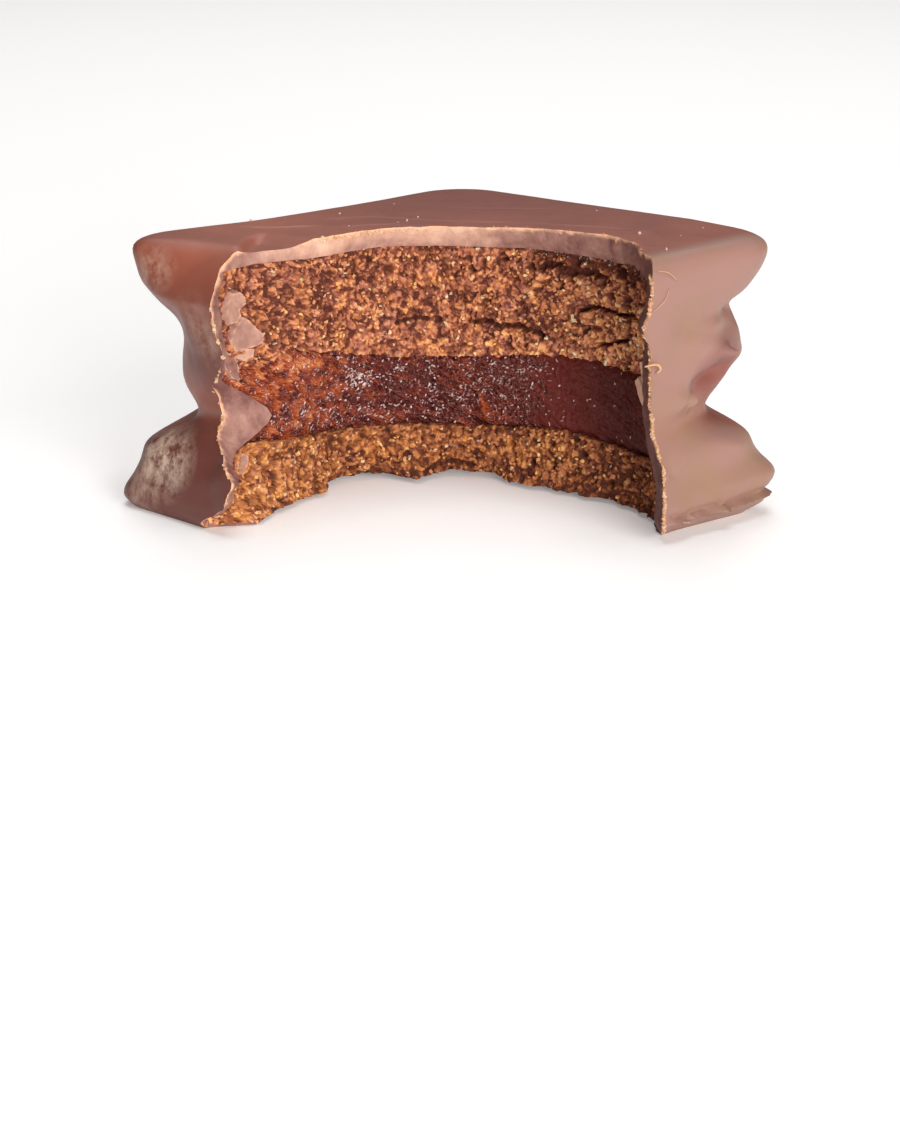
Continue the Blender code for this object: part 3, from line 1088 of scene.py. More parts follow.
def boundary(name, bearing, ragged=1.0):
    # each boundary has its own raggedness, set apart by the length of its name
    height = tableAt(boundaryHeights[name], bearing)[0]
    run = math.radians(bearing) * crumbValues["biteRadius"]
    torn = noise.noise(Vector((run / crumbValues["raggedSize"], len(name), 0.0)))
    torn += 0.6 * noise.noise(Vector((run / crumbValues["raggedFine"], len(name), 3.0)))
    return (height + torn * crumbValues["raggedDepth"] * ragged) * mm


def wholeBearing(x, y):
    # bearing across the bite of any spot, from -90 in front of its right end
    along, deep = acrossBite(x, y)
    return (math.degrees(math.atan2(deep, along)) + 90.0) % 360.0 - 90.0


def biteBearing(x, y):
    return min(max(wholeBearing(x, y), 0.0), 180.0)


def hollowReach(degrees, height):
    half, corner = tableAt(hollowForm["rings"], height)
    reach = squareReach(math.radians(degrees), half, corner)
    return reach + lumpPush(hollowForm["lumps"], degrees, height) + lumpPush(hollowDetails, degrees, height)


def segmentGap(run, height, start, end):
    # distance in mm from (run, height) to the straight line between two spots
    acrossX, acrossZ = end[0] - start[0], end[1] - start[1]
    share = ((run - start[0]) * acrossX + (height - start[1]) * acrossZ) / (acrossX ** 2 + acrossZ ** 2)
    share = min(max(share, 0.0), 1.0)
    return math.hypot(run - start[0] - share * acrossX, height - start[1] - share * acrossZ)


def wallGap(run, level, line):
    # distance in mm on the wall to a line of (bearing, height in mm) points
    return lineGap(run, level, [(bearing * degreeRun, height) for bearing, height in line])


def openings(values, bearing, height, jitter):
    # depth in mm of the cracks and pores at a spot on the wall
    run = bearing * degreeRun + jitter * 0.25
    level = height + jitter * 0.18
    depth = 0.0
    for line, wide, deep in values["cracks"]:
        if min(spot[0] for spot in line) - 5 <= bearing <= max(spot[0] for spot in line) + 5:
            near = wallGap(run, level, line)
            depth = max(depth, deep * (1.0 - ease((near - wide * 0.45) / wide)))
    for centre, high, wide, deep in values["pores"]:
        near = math.hypot(run - centre * degreeRun, level - high)
        if near < 2 * wide:
            depth = max(depth, deep * (1.0 - ease((near - wide * 0.3) / wide)))
    return depth


def crumbAt(point, seed):
    # relief in mm and tone of the broken crumb at a spot: flakes and grains that stand at their own levels,
    # with painted light and shade in the tone
    spot = Vector(point) / mm + Vector((seed, 0.0, 0.0))
    bent = spot + 0.34 * noise.noise_vector(spot / 0.9) + 0.12 * noise.noise_vector(spot / 0.32)
    clumpNear = noise.voronoi(bent / crumbValues["clumpSize"])
    grainNear = noise.voronoi(bent / crumbValues["grainSize"])
    clumpEdge = min((clumpNear[0][1] - clumpNear[0][0]) / 0.40, 1.0)
    grainDome = 1.0 - min(grainNear[0][0] / 0.66, 1.0) ** 2
    clumpLevel = noise.cell(clumpNear[1][0] * 5.1)
    grainLevel = noise.cell(grainNear[1][0] * 7.3)
    grainTone = noise.cell(grainNear[1][0] * 3.7 + Vector((9.0, 4.0, 2.0)))
    fine = noise.noise(spot / crumbValues["fineSize"])
    wave = noise.noise(spot / crumbValues["waveSize"])
    hole = ease((noise.noise(spot / 1.05 + Vector((31.0, 7.0, 5.0))) - 0.27) / 0.35)
    relief = crumbValues["clumpDepth"] * (0.6 * clumpLevel + 0.4 * clumpEdge - 0.5)
    relief += crumbValues["grainDepth"] * (0.45 * grainLevel + 0.75 * grainDome - 0.6)
    waves = crumbValues["fineDepth"] * fine + crumbValues["waveDepth"] * wave
    relief += waves - crumbValues["holeDepth"] * hole
    tone = 0.53 + 0.32 * (grainTone - 0.5) + 0.12 * (clumpLevel - 0.5)
    # painted light and shade: lighter on the grains' tops, darker between them, at the clumps' edges and in
    # the holes
    tone += 0.16 * (grainDome - 0.6) + 0.05 * (clumpEdge - 0.7) + 0.10 * fine - 0.18 * hole
    if grainTone > 0.965:
        tone += 0.14
    return relief, tone


def wallEnd(height, setBack, inner, outer):
    # bearing across the bite where the wall meets the coat's inside, and its bearing on the part
    for _ in range(22):
        middle = (inner + outer) / 2
        spot = arcPoint(middle, biteReach(middle, height) + setBack, height)
        degrees = math.degrees(math.atan2(spot.y, spot.x)) % 360.0
        if math.hypot(spot.x, spot.y) > hollowReach(degrees, height) + crumbValues["intoCoat"]:
            outer = middle
        else:
            inner = middle
    return inner, degrees


def layerBody(values, rowGap, setBack, relief, toneName):
    # a layer with its wall worked by relief(bearing, point, share) -> (push, tone)
    rows = round(values["tall"] / rowGap)
    wallSteps, outerSteps = crumbValues["wallSteps"], crumbValues["outerSteps"]
    steps = wallSteps + outerSteps
    capInsets = crumbValues["capInsets"]
    levels = [(0.0, inset) for inset in reversed(capInsets)]
    levels += [(row / rows, 0.0) for row in range(rows + 1)]
    levels += [(1.0, inset) for inset in capInsets]

    def edgeAt(edge, bearing):
        name, ragged, step = values[edge]
        return boundary(name, bearing, ragged) + step

    def heightAt(bearing, share):
        base = edgeAt("low", bearing)
        return base + share * (edgeAt("high", bearing) - base)

    ends = []
    for share, _ in levels:
        right = wallEnd(heightAt(20.0, share), setBack, 50.0, -15.0)
        left = wallEnd(heightAt(167.0, share), setBack, 130.0, 195.0)
        ends.append((right, left))

    tube = spunTube(steps, len(levels) - 1)
    toneLayer = tube.verts.layers.float.new(toneName)
    slantLayer = tube.verts.layers.float_vector.new("slant")
    for vert in tube.verts:
        station = round(math.atan2(vert.co.y, vert.co.x) / math.tau % 1.0 * steps) % steps
        level = round(vert.co.z)
        share, inset = levels[level]
        (first, firstDegrees), (last, lastDegrees) = ends[level]
        if station > wallSteps:
            turned = (station - wallSteps) / outerSteps
            degrees = lastDegrees + (firstDegrees - lastDegrees) * turned
            angle = math.radians(degrees)
            place = biteBearing(0.02 * math.cos(angle), 0.02 * math.sin(angle))
            height = heightAt(place, share)
            reach = hollowReach(degrees, height) + crumbValues["intoCoat"]
            vert.co = (reach * math.cos(angle), reach * math.sin(angle), height)
            softShoulder(vert.co, degrees % 360.0, shoulderForm["layerInset"])
            vert[toneLayer] = 0.4
            continue
        # the relief and the caps' rings run out towards the two ends
        nearEnd = min(station, wallSteps - station)
        inset *= ease(nearEnd / 60.0)
        bearing = first + (last - first) * station / wallSteps
        height = heightAt(bearing, share)
        spot = arcPoint(bearing, biteReach(bearing, height) + inset + setBack, height)
        push, tone = relief(bearing, spot, share)
        vert[slantLayer] = slantedSpot(bearing, spot.z)
        push *= (1.0 - inset / capInsets[-1]) * ease(nearEnd / 9.0)
        vert.co = spot + intoBite(bearing) * push
        vert[toneLayer] = tone
    bmesh.ops.recalc_face_normals(tube, faces=tube.faces)
    return tube


def slantedSpot(bearing, height):
    # a spot of the wall in mm, in axes turned to the slant of the filling's drawn-out grains
    run = bearing * degreeRun
    level = height / mm
    return Vector((run * 0.80 + level * 0.60, (level * 0.80 - run * 0.60) * 1.7, 0.0))


def shadeAt(values, bearing, height):
    return sum(
        change * ease((bearing - turn) / turnRun) * ease((height - level) / levelRun)
        for change, turn, turnRun, level, levelRun in values["shades"]
    )


def biscuitRelief(values):
    def relief(bearing, spot, share):
        height = spot.z / mm
        push, tone = crumbAt(spot, values["seed"])
        jitter = noise.noise(Vector((bearing * degreeRun, height, values["seed"])) / 0.7)
        opened = openings(values, bearing, height, jitter)
        # painted shade in the cracks and pores
        tone -= 0.50 * min(opened, 1.0)
        tone += shadeAt(values, bearing, height)
        return (push - opened) * mm, tone
    return relief


def makeBiscuit(name, node, values, material):
    body = layerBody(values, crumbValues["rowGap"], 0.0, biscuitRelief(values), "crumbTone")
    piece = finishPiece(name, body, [material], "cocoa_biscuit", node, sharp=70)
    print(name + ":", len(piece.data.polygons), "faces")


# the filling: boundaries and height as for the biscuits, sizes in mm, setBack in metres; the wall
# is rough and wet from a bearing on, dull and darkened with painted shade below another, brightened
# with painted light where it is thin and lit through at the left, and smeared with crumb there
caramelValues = {
    "low": ("fillingBase", 0.8, -0.0001),
    "high": ("fillingTop", 1.0, 0.0001),
    "tall": 9.6,
    "setBack": 0.0006,
    "rowGap": 0.13,
    "grainSize": 0.50,
    "grainDepth": 0.34,
    "waveSize": 1.2,
    "waveDepth": 0.42,
    "dragDepth": 0.09,
    "edgeDepth": 0.25,
    "roughFrom": 55,
    "dullAndShadedBelow": 64.0,
    "litFrom": 112,
    "smearFrom": 128,
    # a dimple beside the drip: bearing, height in mm, half spread and depth in mm
    "dimple": (85.0, 7.2, 0.55, 0.85),
}

# the drip at the middle, with its tail: points (bearing, height in mm), half width and push in mm
dripLines = (
    (((83.0, 10.6), (82.2, 9.4), (81.6, 7.6)), 0.34, 0.62),
    (((81.8, 8.4), (78.0, 8.1), (72.5, 7.7)), 0.26, 0.45),
)


def dripAt(run, height):
    return max(rise * bell(wallGap(run, height, line), wide) for line, wide, rise in dripLines)


def caramelRelief(bearing, spot, share):
    values = caramelValues
    height = spot.z / mm
    run = bearing * degreeRun
    slanted = slantedSpot(bearing, spot.z)
    # grains drawn out on the slant, coarser and wetter to the left
    grain = noise.voronoi(slanted / values["grainSize"])[0][0]
    dome = 1.0 - min(grain / 0.8, 1.0) ** 2
    rough = 0.22 + 0.78 * ease((bearing - values["roughFrom"]) / 40)
    wave = noise.noise(Vector((slanted.x / 1.9, slanted.y / 0.8, 4.0)) / values["waveSize"])
    drag = noise.noise(Vector((run / 0.30, height / 2.6, 8.0)))
    push = values["grainDepth"] * rough * (dome - 0.5)
    push += values["waveDepth"] * wave * (0.35 + 0.65 * rough)
    push += values["dragDepth"] * drag * (1.0 - rough)
    drip = dripAt(run, height)
    place, level, spread, deep = values["dimple"]
    push += drip - deep * bell(run - place * degreeRun, spread) * bell(height - level, spread)
    edge = ease(share / 0.10) * ease((1.0 - share) / 0.08)
    push -= values["edgeDepth"] * (1.0 - edge)
    tone = 0.33 + 0.24 * wave * rough + 0.16 * (dome - 0.5) * rough
    # painted light where it is thin and lit through at the left; smeared with crumb where it meets the lid
    # there
    lit = ease((bearing - values["litFrom"]) / 26) * ease((height - 6.5) / 2.0)
    tone += (0.20 + 0.50 * noise.noise(Vector((run, height, 9.0)) / 1.3)) * lit
    # lighter on the drip; painted shade darkens the wall towards its right end
    tone += 0.42 * drip - 0.24 * ease((values["dullAndShadedBelow"] - bearing) / 30)
    smear = ease((bearing - values["smearFrom"]) / 14) * ease((height - 13.2) / 2.6)
    tone += smear * (0.04 + 0.34 * ease((noise.noise(Vector((run, height, 2.0)) / 0.55) - 0.05) / 0.3))
    return push * mm, tone


def makeCaramel(wet, dull):
    values = caramelValues
    body = layerBody(values, values["rowGap"], values["setBack"], caramelRelief, "caramelTone")
    piece = finishPiece("caramelFilling", body, [wet, dull], "dulce_de_leche", "filling")
    for face in piece.data.polygons:
        middle = face.center
        patchy = 7.0 * ripple(middle, 0.0012, 6.0) + 5.0 * ripple(middle, 0.0004, 2.0)
        if wholeBearing(middle.x, middle.y) + patchy < values["dullAndShadedBelow"]:
            face.material_index = 1
    print("filling:", len(piece.data.polygons), "faces")


# how many of each kind, size range in mm, how flat, tone range, seed of the random draws
grainValues = {
    "crumbClods": {"count": 900, "size": (0.13, 0.30), "flat": 0.60, "tone": (0.36, 0.72), "seed": 3},
    "goldenGrains": {"count": 210, "size": (0.14, 0.30), "flat": 0.60, "tone": (0.72, 0.92), "seed": 4},
    "darkSpecks": {"count": 110, "size": (0.14, 0.30), "flat": 0.60, "tone": (0.04, 0.18), "seed": 6},
    "strawFlecks": {"count": 80, "size": (0.16, 0.34), "flat": 0.45, "tone": (0.2, 1.0), "seed": 7},
    "crustFlecks": {"count": 90, "size": (0.07, 0.17), "flat": 0.50, "tone": (0.1, 0.9), "seed": 12},
    "edgeCrumbsAndRimHighlight": {"count": 700, "size": (0.11, 0.29), "flat": 0.50, "tone": (0.35, 1.0), "seed": 23},
    "footCrumbs": {"count": 60, "size": (0.14, 0.34), "flat": 0.60, "tone": (0.40, 0.85), "seed": 41},
    "sugarAndPaintedGlints": {"count": 900, "size": (0.12, 0.38), "wide": (0.07, 0.12), "seed": 31},
}
grainLump = 0.36            # how far a grain's corners wander, as a share of its size
baseShare = 0.33            # the share of the loose crumb that lies on the base


def addGrain(body, toneLayer, rng, spot, size, flat, tone):
    angle = rng.uniform(0, math.tau)
    turn = Matrix.Rotation(angle, 4, Vector((rng.gauss(0, 1), rng.gauss(0, 1), rng.gauss(0, 1))))
    stretch = Matrix.Diagonal((size, size * rng.uniform(flat, 1.0), size * flat, 1.0))
    made = bmesh.ops.create_icosphere(
        body, subdivisions=1, radius=mm, matrix=Matrix.Translation(spot) @ turn @ stretch,
    )
    for vert in made["verts"]:
        away = Vector((rng.uniform(-1, 1), rng.uniform(-1, 1), rng.uniform(-1, 1)))
        vert.co += away * size * grainLump * mm
        vert[toneLayer] = tone


def scatter(name, material, slot, placeGrain, sharp=38):
    # the grains of one kind in a single mesh, made in small lots because that is quick
    lot = 40
    count = grainValues[name]["count"]
    body = bmesh.new()
    body.verts.layers.float.new("crumbTone")
    for first in range(0, count, lot):
        part = bmesh.new()
        toneLayer = part.verts.layers.float.new("crumbTone")
        for number in range(first, min(first + lot, count)):
            placeGrain(part, toneLayer, number)
        pour(part, body)
    finishPiece(name, body, [material], slot, sharp=sharp)
    print(name, "scattered:", count)


def crumbSpot(rng, layer, toward):
    # a place on the broken wall of a biscuit, on top of its relief
    values, low, high, first, last = layer
    for _ in range(20):
        bearing = rng.uniform(first, last)
        base, top = boundary(low, bearing), boundary(high, bearing, 0.6)
        height = rng.uniform(base + 0.0001, top - 0.0001)
        if openings(values, bearing, height / mm, 0.0) < 0.2:
            break
    spot = arcPoint(bearing, biteReach(bearing, height), height)
    push = crumbAt(spot, values["seed"])[0]
    return spot + intoBite(bearing) * (push + toward) * mm, bearing, height


# where loose crumb lies: the biscuit, its lower and upper boundary, first and last bearing
lidLayer = (lidValues, "fillingTop", "coatUnder", 12.0, 166.0)
crustLayer = (lidValues, "crustLine", "coatUnder", 16.0, 70.0)
baseLayer = (baseValues, "biscuitBase", "fillingBase", 8.0, 172.0)


def makeWallGrains(name, material, only=None):
    values = grainValues[name]
    rng = random.Random(values["seed"])

    def placeGrain(part, toneLayer, number):
        layer = only or (baseLayer if rng.random() < baseShare else lidLayer)
        size = rng.uniform(*values["size"])
        spot, bearing, height = crumbSpot(rng, layer, size * 0.25)
        tone = rng.uniform(*values["tone"])
        # the grains take the painted light and shade of the wall under them
        if not only:
            tone += shadeAt(layer[0], bearing, height / mm)
        addGrain(part, toneLayer, rng, spot, size, values["flat"], tone)

    scatter(name, material, "cocoa_biscuit", placeGrain)


# where the crumbs of chocolate lie: bearings along the top of the break, the share up to which a
# crumb lies there and up to which it lies on the right edge, heights on the right and left edges;
# the bright crumbs along the right edge are a painted highlight of its lit rim
edgeSpread = {
    "rims": ((98, 138), (8, 84), (112, 136)),
    "rimUpTo": 0.30,
    "rightUpTo": 0.93,
    "right": (0.001, 0.030),
    "left": (0.004, 0.026),
}


def makeEdgeCrumbsAndRimHighlight(material):
    values = grainValues["edgeCrumbsAndRimHighlight"]
    rng = random.Random(values["seed"])
    height = topLevel + 0.0003

    def placeGrain(part, toneLayer, number):
        size = rng.uniform(*values["size"])
        kind = rng.random()
        if kind < edgeSpread["rimUpTo"]:
            bearing = rng.uniform(*rng.choice(edgeSpread["rims"]))
            spot = arcPoint(bearing, biteReach(bearing, height) + coatChips(bearing, height) - 0.0003, height)
            spot.z = topLevel - 0.0001 + topRise(spot.x, aboveTop) - rng.uniform(0.0, 0.0004)
        elif kind < edgeSpread["rightUpTo"]:
            # painted highlight: bright crumbs along the right edge
            spot = edgeSpot(rng.uniform(*edgeSpread["right"]), right=True)
        else:
            spot = edgeSpot(rng.uniform(*edgeSpread["left"]), right=False)
        addGrain(part, toneLayer, rng, spot, size, values["flat"], rng.uniform(*values["tone"]))

    scatter("edgeCrumbsAndRimHighlight", material, "milk_chocolate", placeGrain)


def makeFootCrumbs(material):
    # crumbs caught under the chocolate's foot at the left end of the bite
    values = grainValues["footCrumbs"]
    rng = random.Random(values["seed"])

    def placeGrain(part, toneLayer, number):
        height = rng.uniform(0.0002, 0.0016)
        end = edgeSpot(height, right=False)
        bearing = wholeBearing(end.x, end.y) - rng.uniform(0.0, 9.0)
        spot = arcPoint(bearing, breakReach(bearing, height) - rng.uniform(-0.0002, 0.0004), height)
        size = rng.uniform(*values["size"])
        spot.z = max(spot.z, size * mm)
        addGrain(part, toneLayer, rng, spot, size, values["flat"], rng.uniform(*values["tone"]))

    scatter("footCrumbs", material, "cocoa_biscuit", placeGrain)


# the glints: how far they turn from level and how much that varies, thickness and bend in mm;
# bearings and heights of the wall they lie on, plainShare of them; and of one crowded drift
glintForm = {
    "turn": (38.0, 34.0),
    "thick": 0.05,
    "bend": 0.5,
    "bearings": (20.0, 161.0),
    "heights": (0.0066, 0.0176),
    "plainShare": 0.92,
    "driftBearings": (112.0, 127.0),
    "driftHeights": (0.0116, 0.0144),
}


def addGlint(body, toneLayer, rng, spot, bearing, size, wide, tone):
    # one small wet lens lying on the wall, a painted glint except in the crowded drift where it is a sugar
    # grain, turned at random round the slant
    out = intoBite(bearing)
    up = Vector((0.0, 0.0, 1.0))
    turn = math.radians(rng.gauss(*glintForm["turn"]))
    long = up.cross(out) * math.cos(turn) + up * math.sin(turn)
    across = out.cross(long)
    axes = Matrix((long * size, across * wide, out * glintForm["thick"])).transposed().to_4x4()
    made = bmesh.ops.create_uvsphere(
        body, u_segments=7, v_segments=4, radius=mm, matrix=Matrix.Translation(spot) @ axes,
    )
    bend = rng.uniform(-glintForm["bend"], glintForm["bend"]) / size
    for vert in made["verts"]:
        reach = (vert.co - spot).dot(long)
        vert.co += across * bend * (reach / mm) ** 2 * mm
        vert[toneLayer] = tone


def glintShare(bearing, height):
    # how thick the glints lie: on the middle and the lower left, in drifts
    run = bearing * degreeRun
    share = 0.05 + 0.95 * ease((bearing - 46) / 40)
    share *= 1.0 - 0.55 * ease((bearing - 118) / 16) * ease((height - 0.0105) / 0.002)
    return share * (0.12 + 0.88 * ease((noise.noise(Vector((run, height / mm, 6.0)) / 0.9) + 0.30) / 0.40))


def driftShare(bearing, height):
    # 1 in the middle of the crowded drift, 0 at its rim
    offsets = []
    for value, (low, high) in ((bearing, glintForm["driftBearings"]), (height, glintForm["driftHeights"])):
        offsets.append((value - (low + high) / 2) / ((high - low) / 2))
    return 1.0 - math.hypot(*offsets)


def makeGlints(material):
    # pale lenses on the filling: painted glints for the light caught by its wet surface, and in one crowded
    # drift its pale sugar grains
    values = grainValues["sugarAndPaintedGlints"]
    rng = random.Random(values["seed"])

    def placeGrain(part, toneLayer, number):
        crowded = number > glintForm["plainShare"] * values["count"]
        places = ("driftBearings", "driftHeights") if crowded else ("bearings", "heights")
        bearings, heights = (glintForm[place] for place in places)
        keep, low, high, height = 0.0, 0.0, 0.0, 0.0
        while rng.random() > keep or not low + 0.0003 < height < high - 0.0002:
            bearing, height = rng.uniform(*bearings), rng.uniform(*heights)
            keep = (driftShare if crowded else glintShare)(bearing, height)
            low, high = boundary("fillingBase", bearing, 0.8), boundary("fillingTop", bearing)
        spot = arcPoint(bearing, biteReach(bearing, height) + caramelValues["setBack"], height)
        push = caramelRelief(bearing, spot, (height - low) / (high - low))[0]
        small, large = values["size"]
        size = small + (large - small) * rng.random() ** 1.6
        tone = 0.6 + 0.4 * rng.random() if crowded else rng.random() ** 1.5
        wide = rng.uniform(*values["wide"])
        addGlint(part, toneLayer, rng, spot + intoBite(bearing) * push, bearing, size, wide, tone)

    scatter("sugarAndPaintedGlints", material, "dulce_de_leche", placeGrain, sharp=None)


def edgeSpot(height, right):
    # where the break meets the coat's outer skin, at one side
    inner, outer = (40.0, -40.0) if right else (140.0, 220.0)
    half, corner = tableAt(coatForm["rings"], height)
    for _ in range(20):
        middle = (inner + outer) / 2
        spot = arcPoint(middle, breakReach(middle, height), height)
        bearing = math.atan2(spot.y, spot.x)
        skin = squareReach(bearing, half, corner) + lumpPush(coatForm["lumps"], math.degrees(bearing), height)
        if math.hypot(spot.x, spot.y) > skin:
            outer = middle
        else:
            inner = middle
    return spot


# flakes of broken chocolate on the wall: outline as (bearing, height in mm), how proud of the wall
# and how thick in mm, how pale
shardForms = (
    (
        ((164.5, 26.0), (162.0, 26.0), (160.3, 25.2), (159.8, 24.3), (162.3, 23.8), (161.8, 23.0),
         (163.6, 22.3), (166.0, 22.3), (167.5, 24.0), (166.5, 25.2)),
        0.30, 0.50, 0.60,
    ),
    (
        ((161.0, 23.1), (159.0, 22.6), (156.3, 21.3), (154.2, 20.5), (154.8, 19.4), (158.0, 19.1),
         (161.0, 19.0), (164.5, 19.2), (166.0, 20.6), (164.5, 21.7), (162.5, 22.5)),
        0.15, 0.50, 0.55,
    ),
    (
        ((168.5, 20.3), (166.0, 19.4), (163.0, 18.6), (162.0, 17.2), (162.6, 15.6), (165.0, 16.2),
         (167.5, 17.6), (169.5, 19.2)),
        0.05, 0.40, 0.40,
    ),
    (
        ((163.0, 19.0), (160.0, 19.3), (157.0, 19.0), (157.6, 18.1), (160.5, 17.8), (163.0, 18.4)),
        0.20, 0.35, 0.72,
    ),
    (((169.5, 7.2), (166.5, 8.2), (164.5, 7.6), (166.0, 6.4), (168.5, 5.8)), 0.10, 0.40, 0.50),
    (((23.8, 16.0), (21.5, 16.6), (19.0, 15.6), (17.8, 13.6), (19.5, 13.0), (22.4, 14.4)), 0.05, 0.30, 0.92),
    (((17.6, 13.2), (15.6, 12.6), (14.6, 10.6), (16.6, 10.9)), 0.05, 0.30, 0.92),
    (((13.0, 12.0), (11.0, 11.6), (9.8, 9.6), (11.0, 9.2), (12.6, 10.4)), 0.05, 0.30, 0.80),
    (((20.0, 18.4), (17.0, 18.8), (15.4, 17.0), (18.0, 16.2)), 0.10, 0.30, 0.95),
)


def makeShards(material):
    rng = random.Random(5)
    flakes = bmesh.new()
    flakes.verts.layers.float.new("nearSkin")
    flakes.verts.layers.float.new("breakTone")
    for outline, proud, thick, pale in shardForms:
        body = bmesh.new()
        body.verts.layers.float.new("nearSkin")
        toneLayer = body.verts.layers.float.new("breakTone")
        rimLayer = body.verts.layers.float["nearSkin"]
        made = bmesh.ops.create_circle(body, cap_ends=True, segments=len(outline), radius=1.0)
        corners = sorted(made["verts"], key=lambda vert: math.atan2(vert.co.y, vert.co.x))
        for vert, (bearing, height) in zip(corners, outline):
            level = height * mm
            vert.co = arcPoint(bearing, biteReach(bearing, level) + 0.0004, level)
        grown = bmesh.ops.extrude_face_region(body, geom=list(body.faces))
        raised = [item for item in grown["geom"] if isinstance(item, bmesh.types.BMVert)]
        top = next(item for item in grown["geom"] if isinstance(item, bmesh.types.BMFace))
        middle = sum((vert.co for vert in raised), Vector()) / len(raised)
        out = intoBite(sum(spot[0] for spot in outline) / len(outline))
        for vert in raised:
            vert.co += (middle - vert.co) * 0.10 + out * (proud + thick * rng.uniform(0.9, 1.1)) * mm
        corners = [vert.co.copy() for vert in raised]
        bmesh.ops.inset_region(body, faces=[top], thickness=0.00022, depth=0.00004, use_even_offset=True)
        poked = bmesh.ops.poke(body, faces=[top])
        for vert in poked["verts"]:
            vert.co += out * rng.uniform(0.0, 0.06) * mm
        bmesh.ops.subdivide_edges(body, edges=list(body.edges), cuts=1, use_grid_fill=True)
        for vert in body.verts:
            # the rims get the painted highlight
            onRim = min((vert.co - corner).length for corner in corners) < 0.00015
            vert[rimLayer] = 0.45 if onRim else 0.0
            vert[toneLayer] = pale
            vert.co += noise.noise_vector(vert.co / 0.0006) * 0.00008
        bmesh.ops.recalc_face_normals(body, faces=body.faces)
        pour(body, flakes)
    finishPiece("brokenShards", flakes, [material], "milk_chocolate", sharp=32)
    print("shards placed")


# hair-thin shavings that stand off the right wall beside the break: points in mm, radius in mm
shavingLines = (
    (((26.1, 5.5, 30.6), (26.4, 6.7, 30.4), (26.5, 7.6, 29.7), (26.2, 8.3, 29.2)), 0.045),
    (((26.0, 7.4, 28.5), (26.2, 6.9, 27.6), (26.2, 6.2, 27.0), (25.9, 5.0, 26.2)), 0.04),
    (((24.8, 5.2, 20.1), (25.2, 6.1, 20.3), (25.3, 6.9, 20.1), (25.3, 7.2, 19.5), (25.1, 6.8, 19.2)), 0.16),
)


def makeShavings(material):
    body = bmesh.new()
    toneLayer = body.verts.layers.float.new("crumbTone")
    for line, radius in shavingLines:
        points = [Vector(point) * mm for point in line]
        course = []
        for step in range(4 * (len(points) - 1) + 1):
            place = step / 4.0
            low = min(int(place), len(points) - 2)
            course.append(points[low].lerp(points[low + 1], place - low))
        for _ in range(2):
            course[1:-1] = [(a + 2 * b + c) / 4 for a, b, c in zip(course, course[1:], course[2:])]
        made = bmesh.ops.create_circle(body, cap_ends=True, segments=6, radius=1.0)
        face = made["verts"][0].link_faces[0]
        for step, point in enumerate(course):
            ahead = course[min(step + 1, len(course) - 1)] - course[max(step - 1, 0)]
            side = ahead.cross(Vector((1.0, 0.0, 0.0))).normalized()
            out = ahead.cross(side).normalized()
            share = step / (len(course) - 1)
            wide = radius * mm * (0.35 + 0.65 * math.sin(math.pi * (0.12 + 0.76 * share)))
            if step:
                grown = bmesh.ops.extrude_face_region(body, geom=[face])
                if step > 1:
                    bmesh.ops.delete(body, geom=[face], context="FACES_ONLY")
                face = next(item for item in grown["geom"] if isinstance(item, bmesh.types.BMFace))
            for place, vert in enumerate(face.verts):
                angle = math.tau * place / 6
                vert.co = point + (side * math.cos(angle) + out * math.sin(angle)) * wide
                vert[toneLayer] = 0.55
    bmesh.ops.recalc_face_normals(body, faces=body.faces)
    finishPiece("shavings", body, [material], "milk_chocolate")


# pale specks lying on the top, in mm: x, y, size
topSpecks = (
    (14.8, 14.6, 0.42), (22.6, 10.5, 0.36), (18.7, 17.0, 0.20), (17.6, 21.8, 0.26), (1.1, 21.9, 0.22),
    (-20.9, 1.9, 0.22), (-11.1, 3.6, 0.34), (-11.8, 5.9, 0.30), (-11.1, 2.2, 0.18), (-13.7, -2.9, 0.20),
    (-21.0, 10.4, 0.18), (-21.3, -6.3, 0.20), (-24.9, -8.0, 0.55),
)


def makeSpecks(material):
    rng = random.Random(8)
    body = bmesh.new()
    toneLayer = body.verts.layers.float.new("crumbTone")
    for x, y, size in topSpecks:
        x, y = x * mm, y * mm
        height = topLevel + topRise(x, aboveTop) + 0.10 * size * mm
        addGrain(body, toneLayer, rng, Vector((x, y, height)), size * 0.6, 0.6, rng.uniform(0.5, 1.0))
    finishPiece("topSpecks", body, [material], "milk_chocolate")


# the loose grains' materials: colours from dark to pale, and roughness
grainLooks = {
    "paleStraw": (((0.0, (0.62, 0.40, 0.20)), (0.5, (0.80, 0.62, 0.34)), (1.0, (0.86, 0.80, 0.60))), 0.6),
    "paleCrust": (((0.0, (0.30, 0.20, 0.17)), (0.5, (0.56, 0.46, 0.42)), (1.0, (0.80, 0.74, 0.68))), 0.5),
    # bright, as it also paints the highlight of the right rim
    "chocolateCrumb": (
        ((0.0, (0.34, 0.15, 0.09)), (0.5, (0.72, 0.36, 0.18)), (1.0, (0.90, 0.62, 0.40))), 0.6,
    ),
    "sugarAndPaintedGlint": (((0.0, (0.30, 0.13, 0.11)), (0.5, (0.52, 0.33, 0.30)), (1.0, (0.82, 0.68, 0.66))), 0.22),
    "paleSpeck": (((0.0, (0.70, 0.44, 0.38)), (1.0, (0.92, 0.72, 0.62))), 0.5),
}


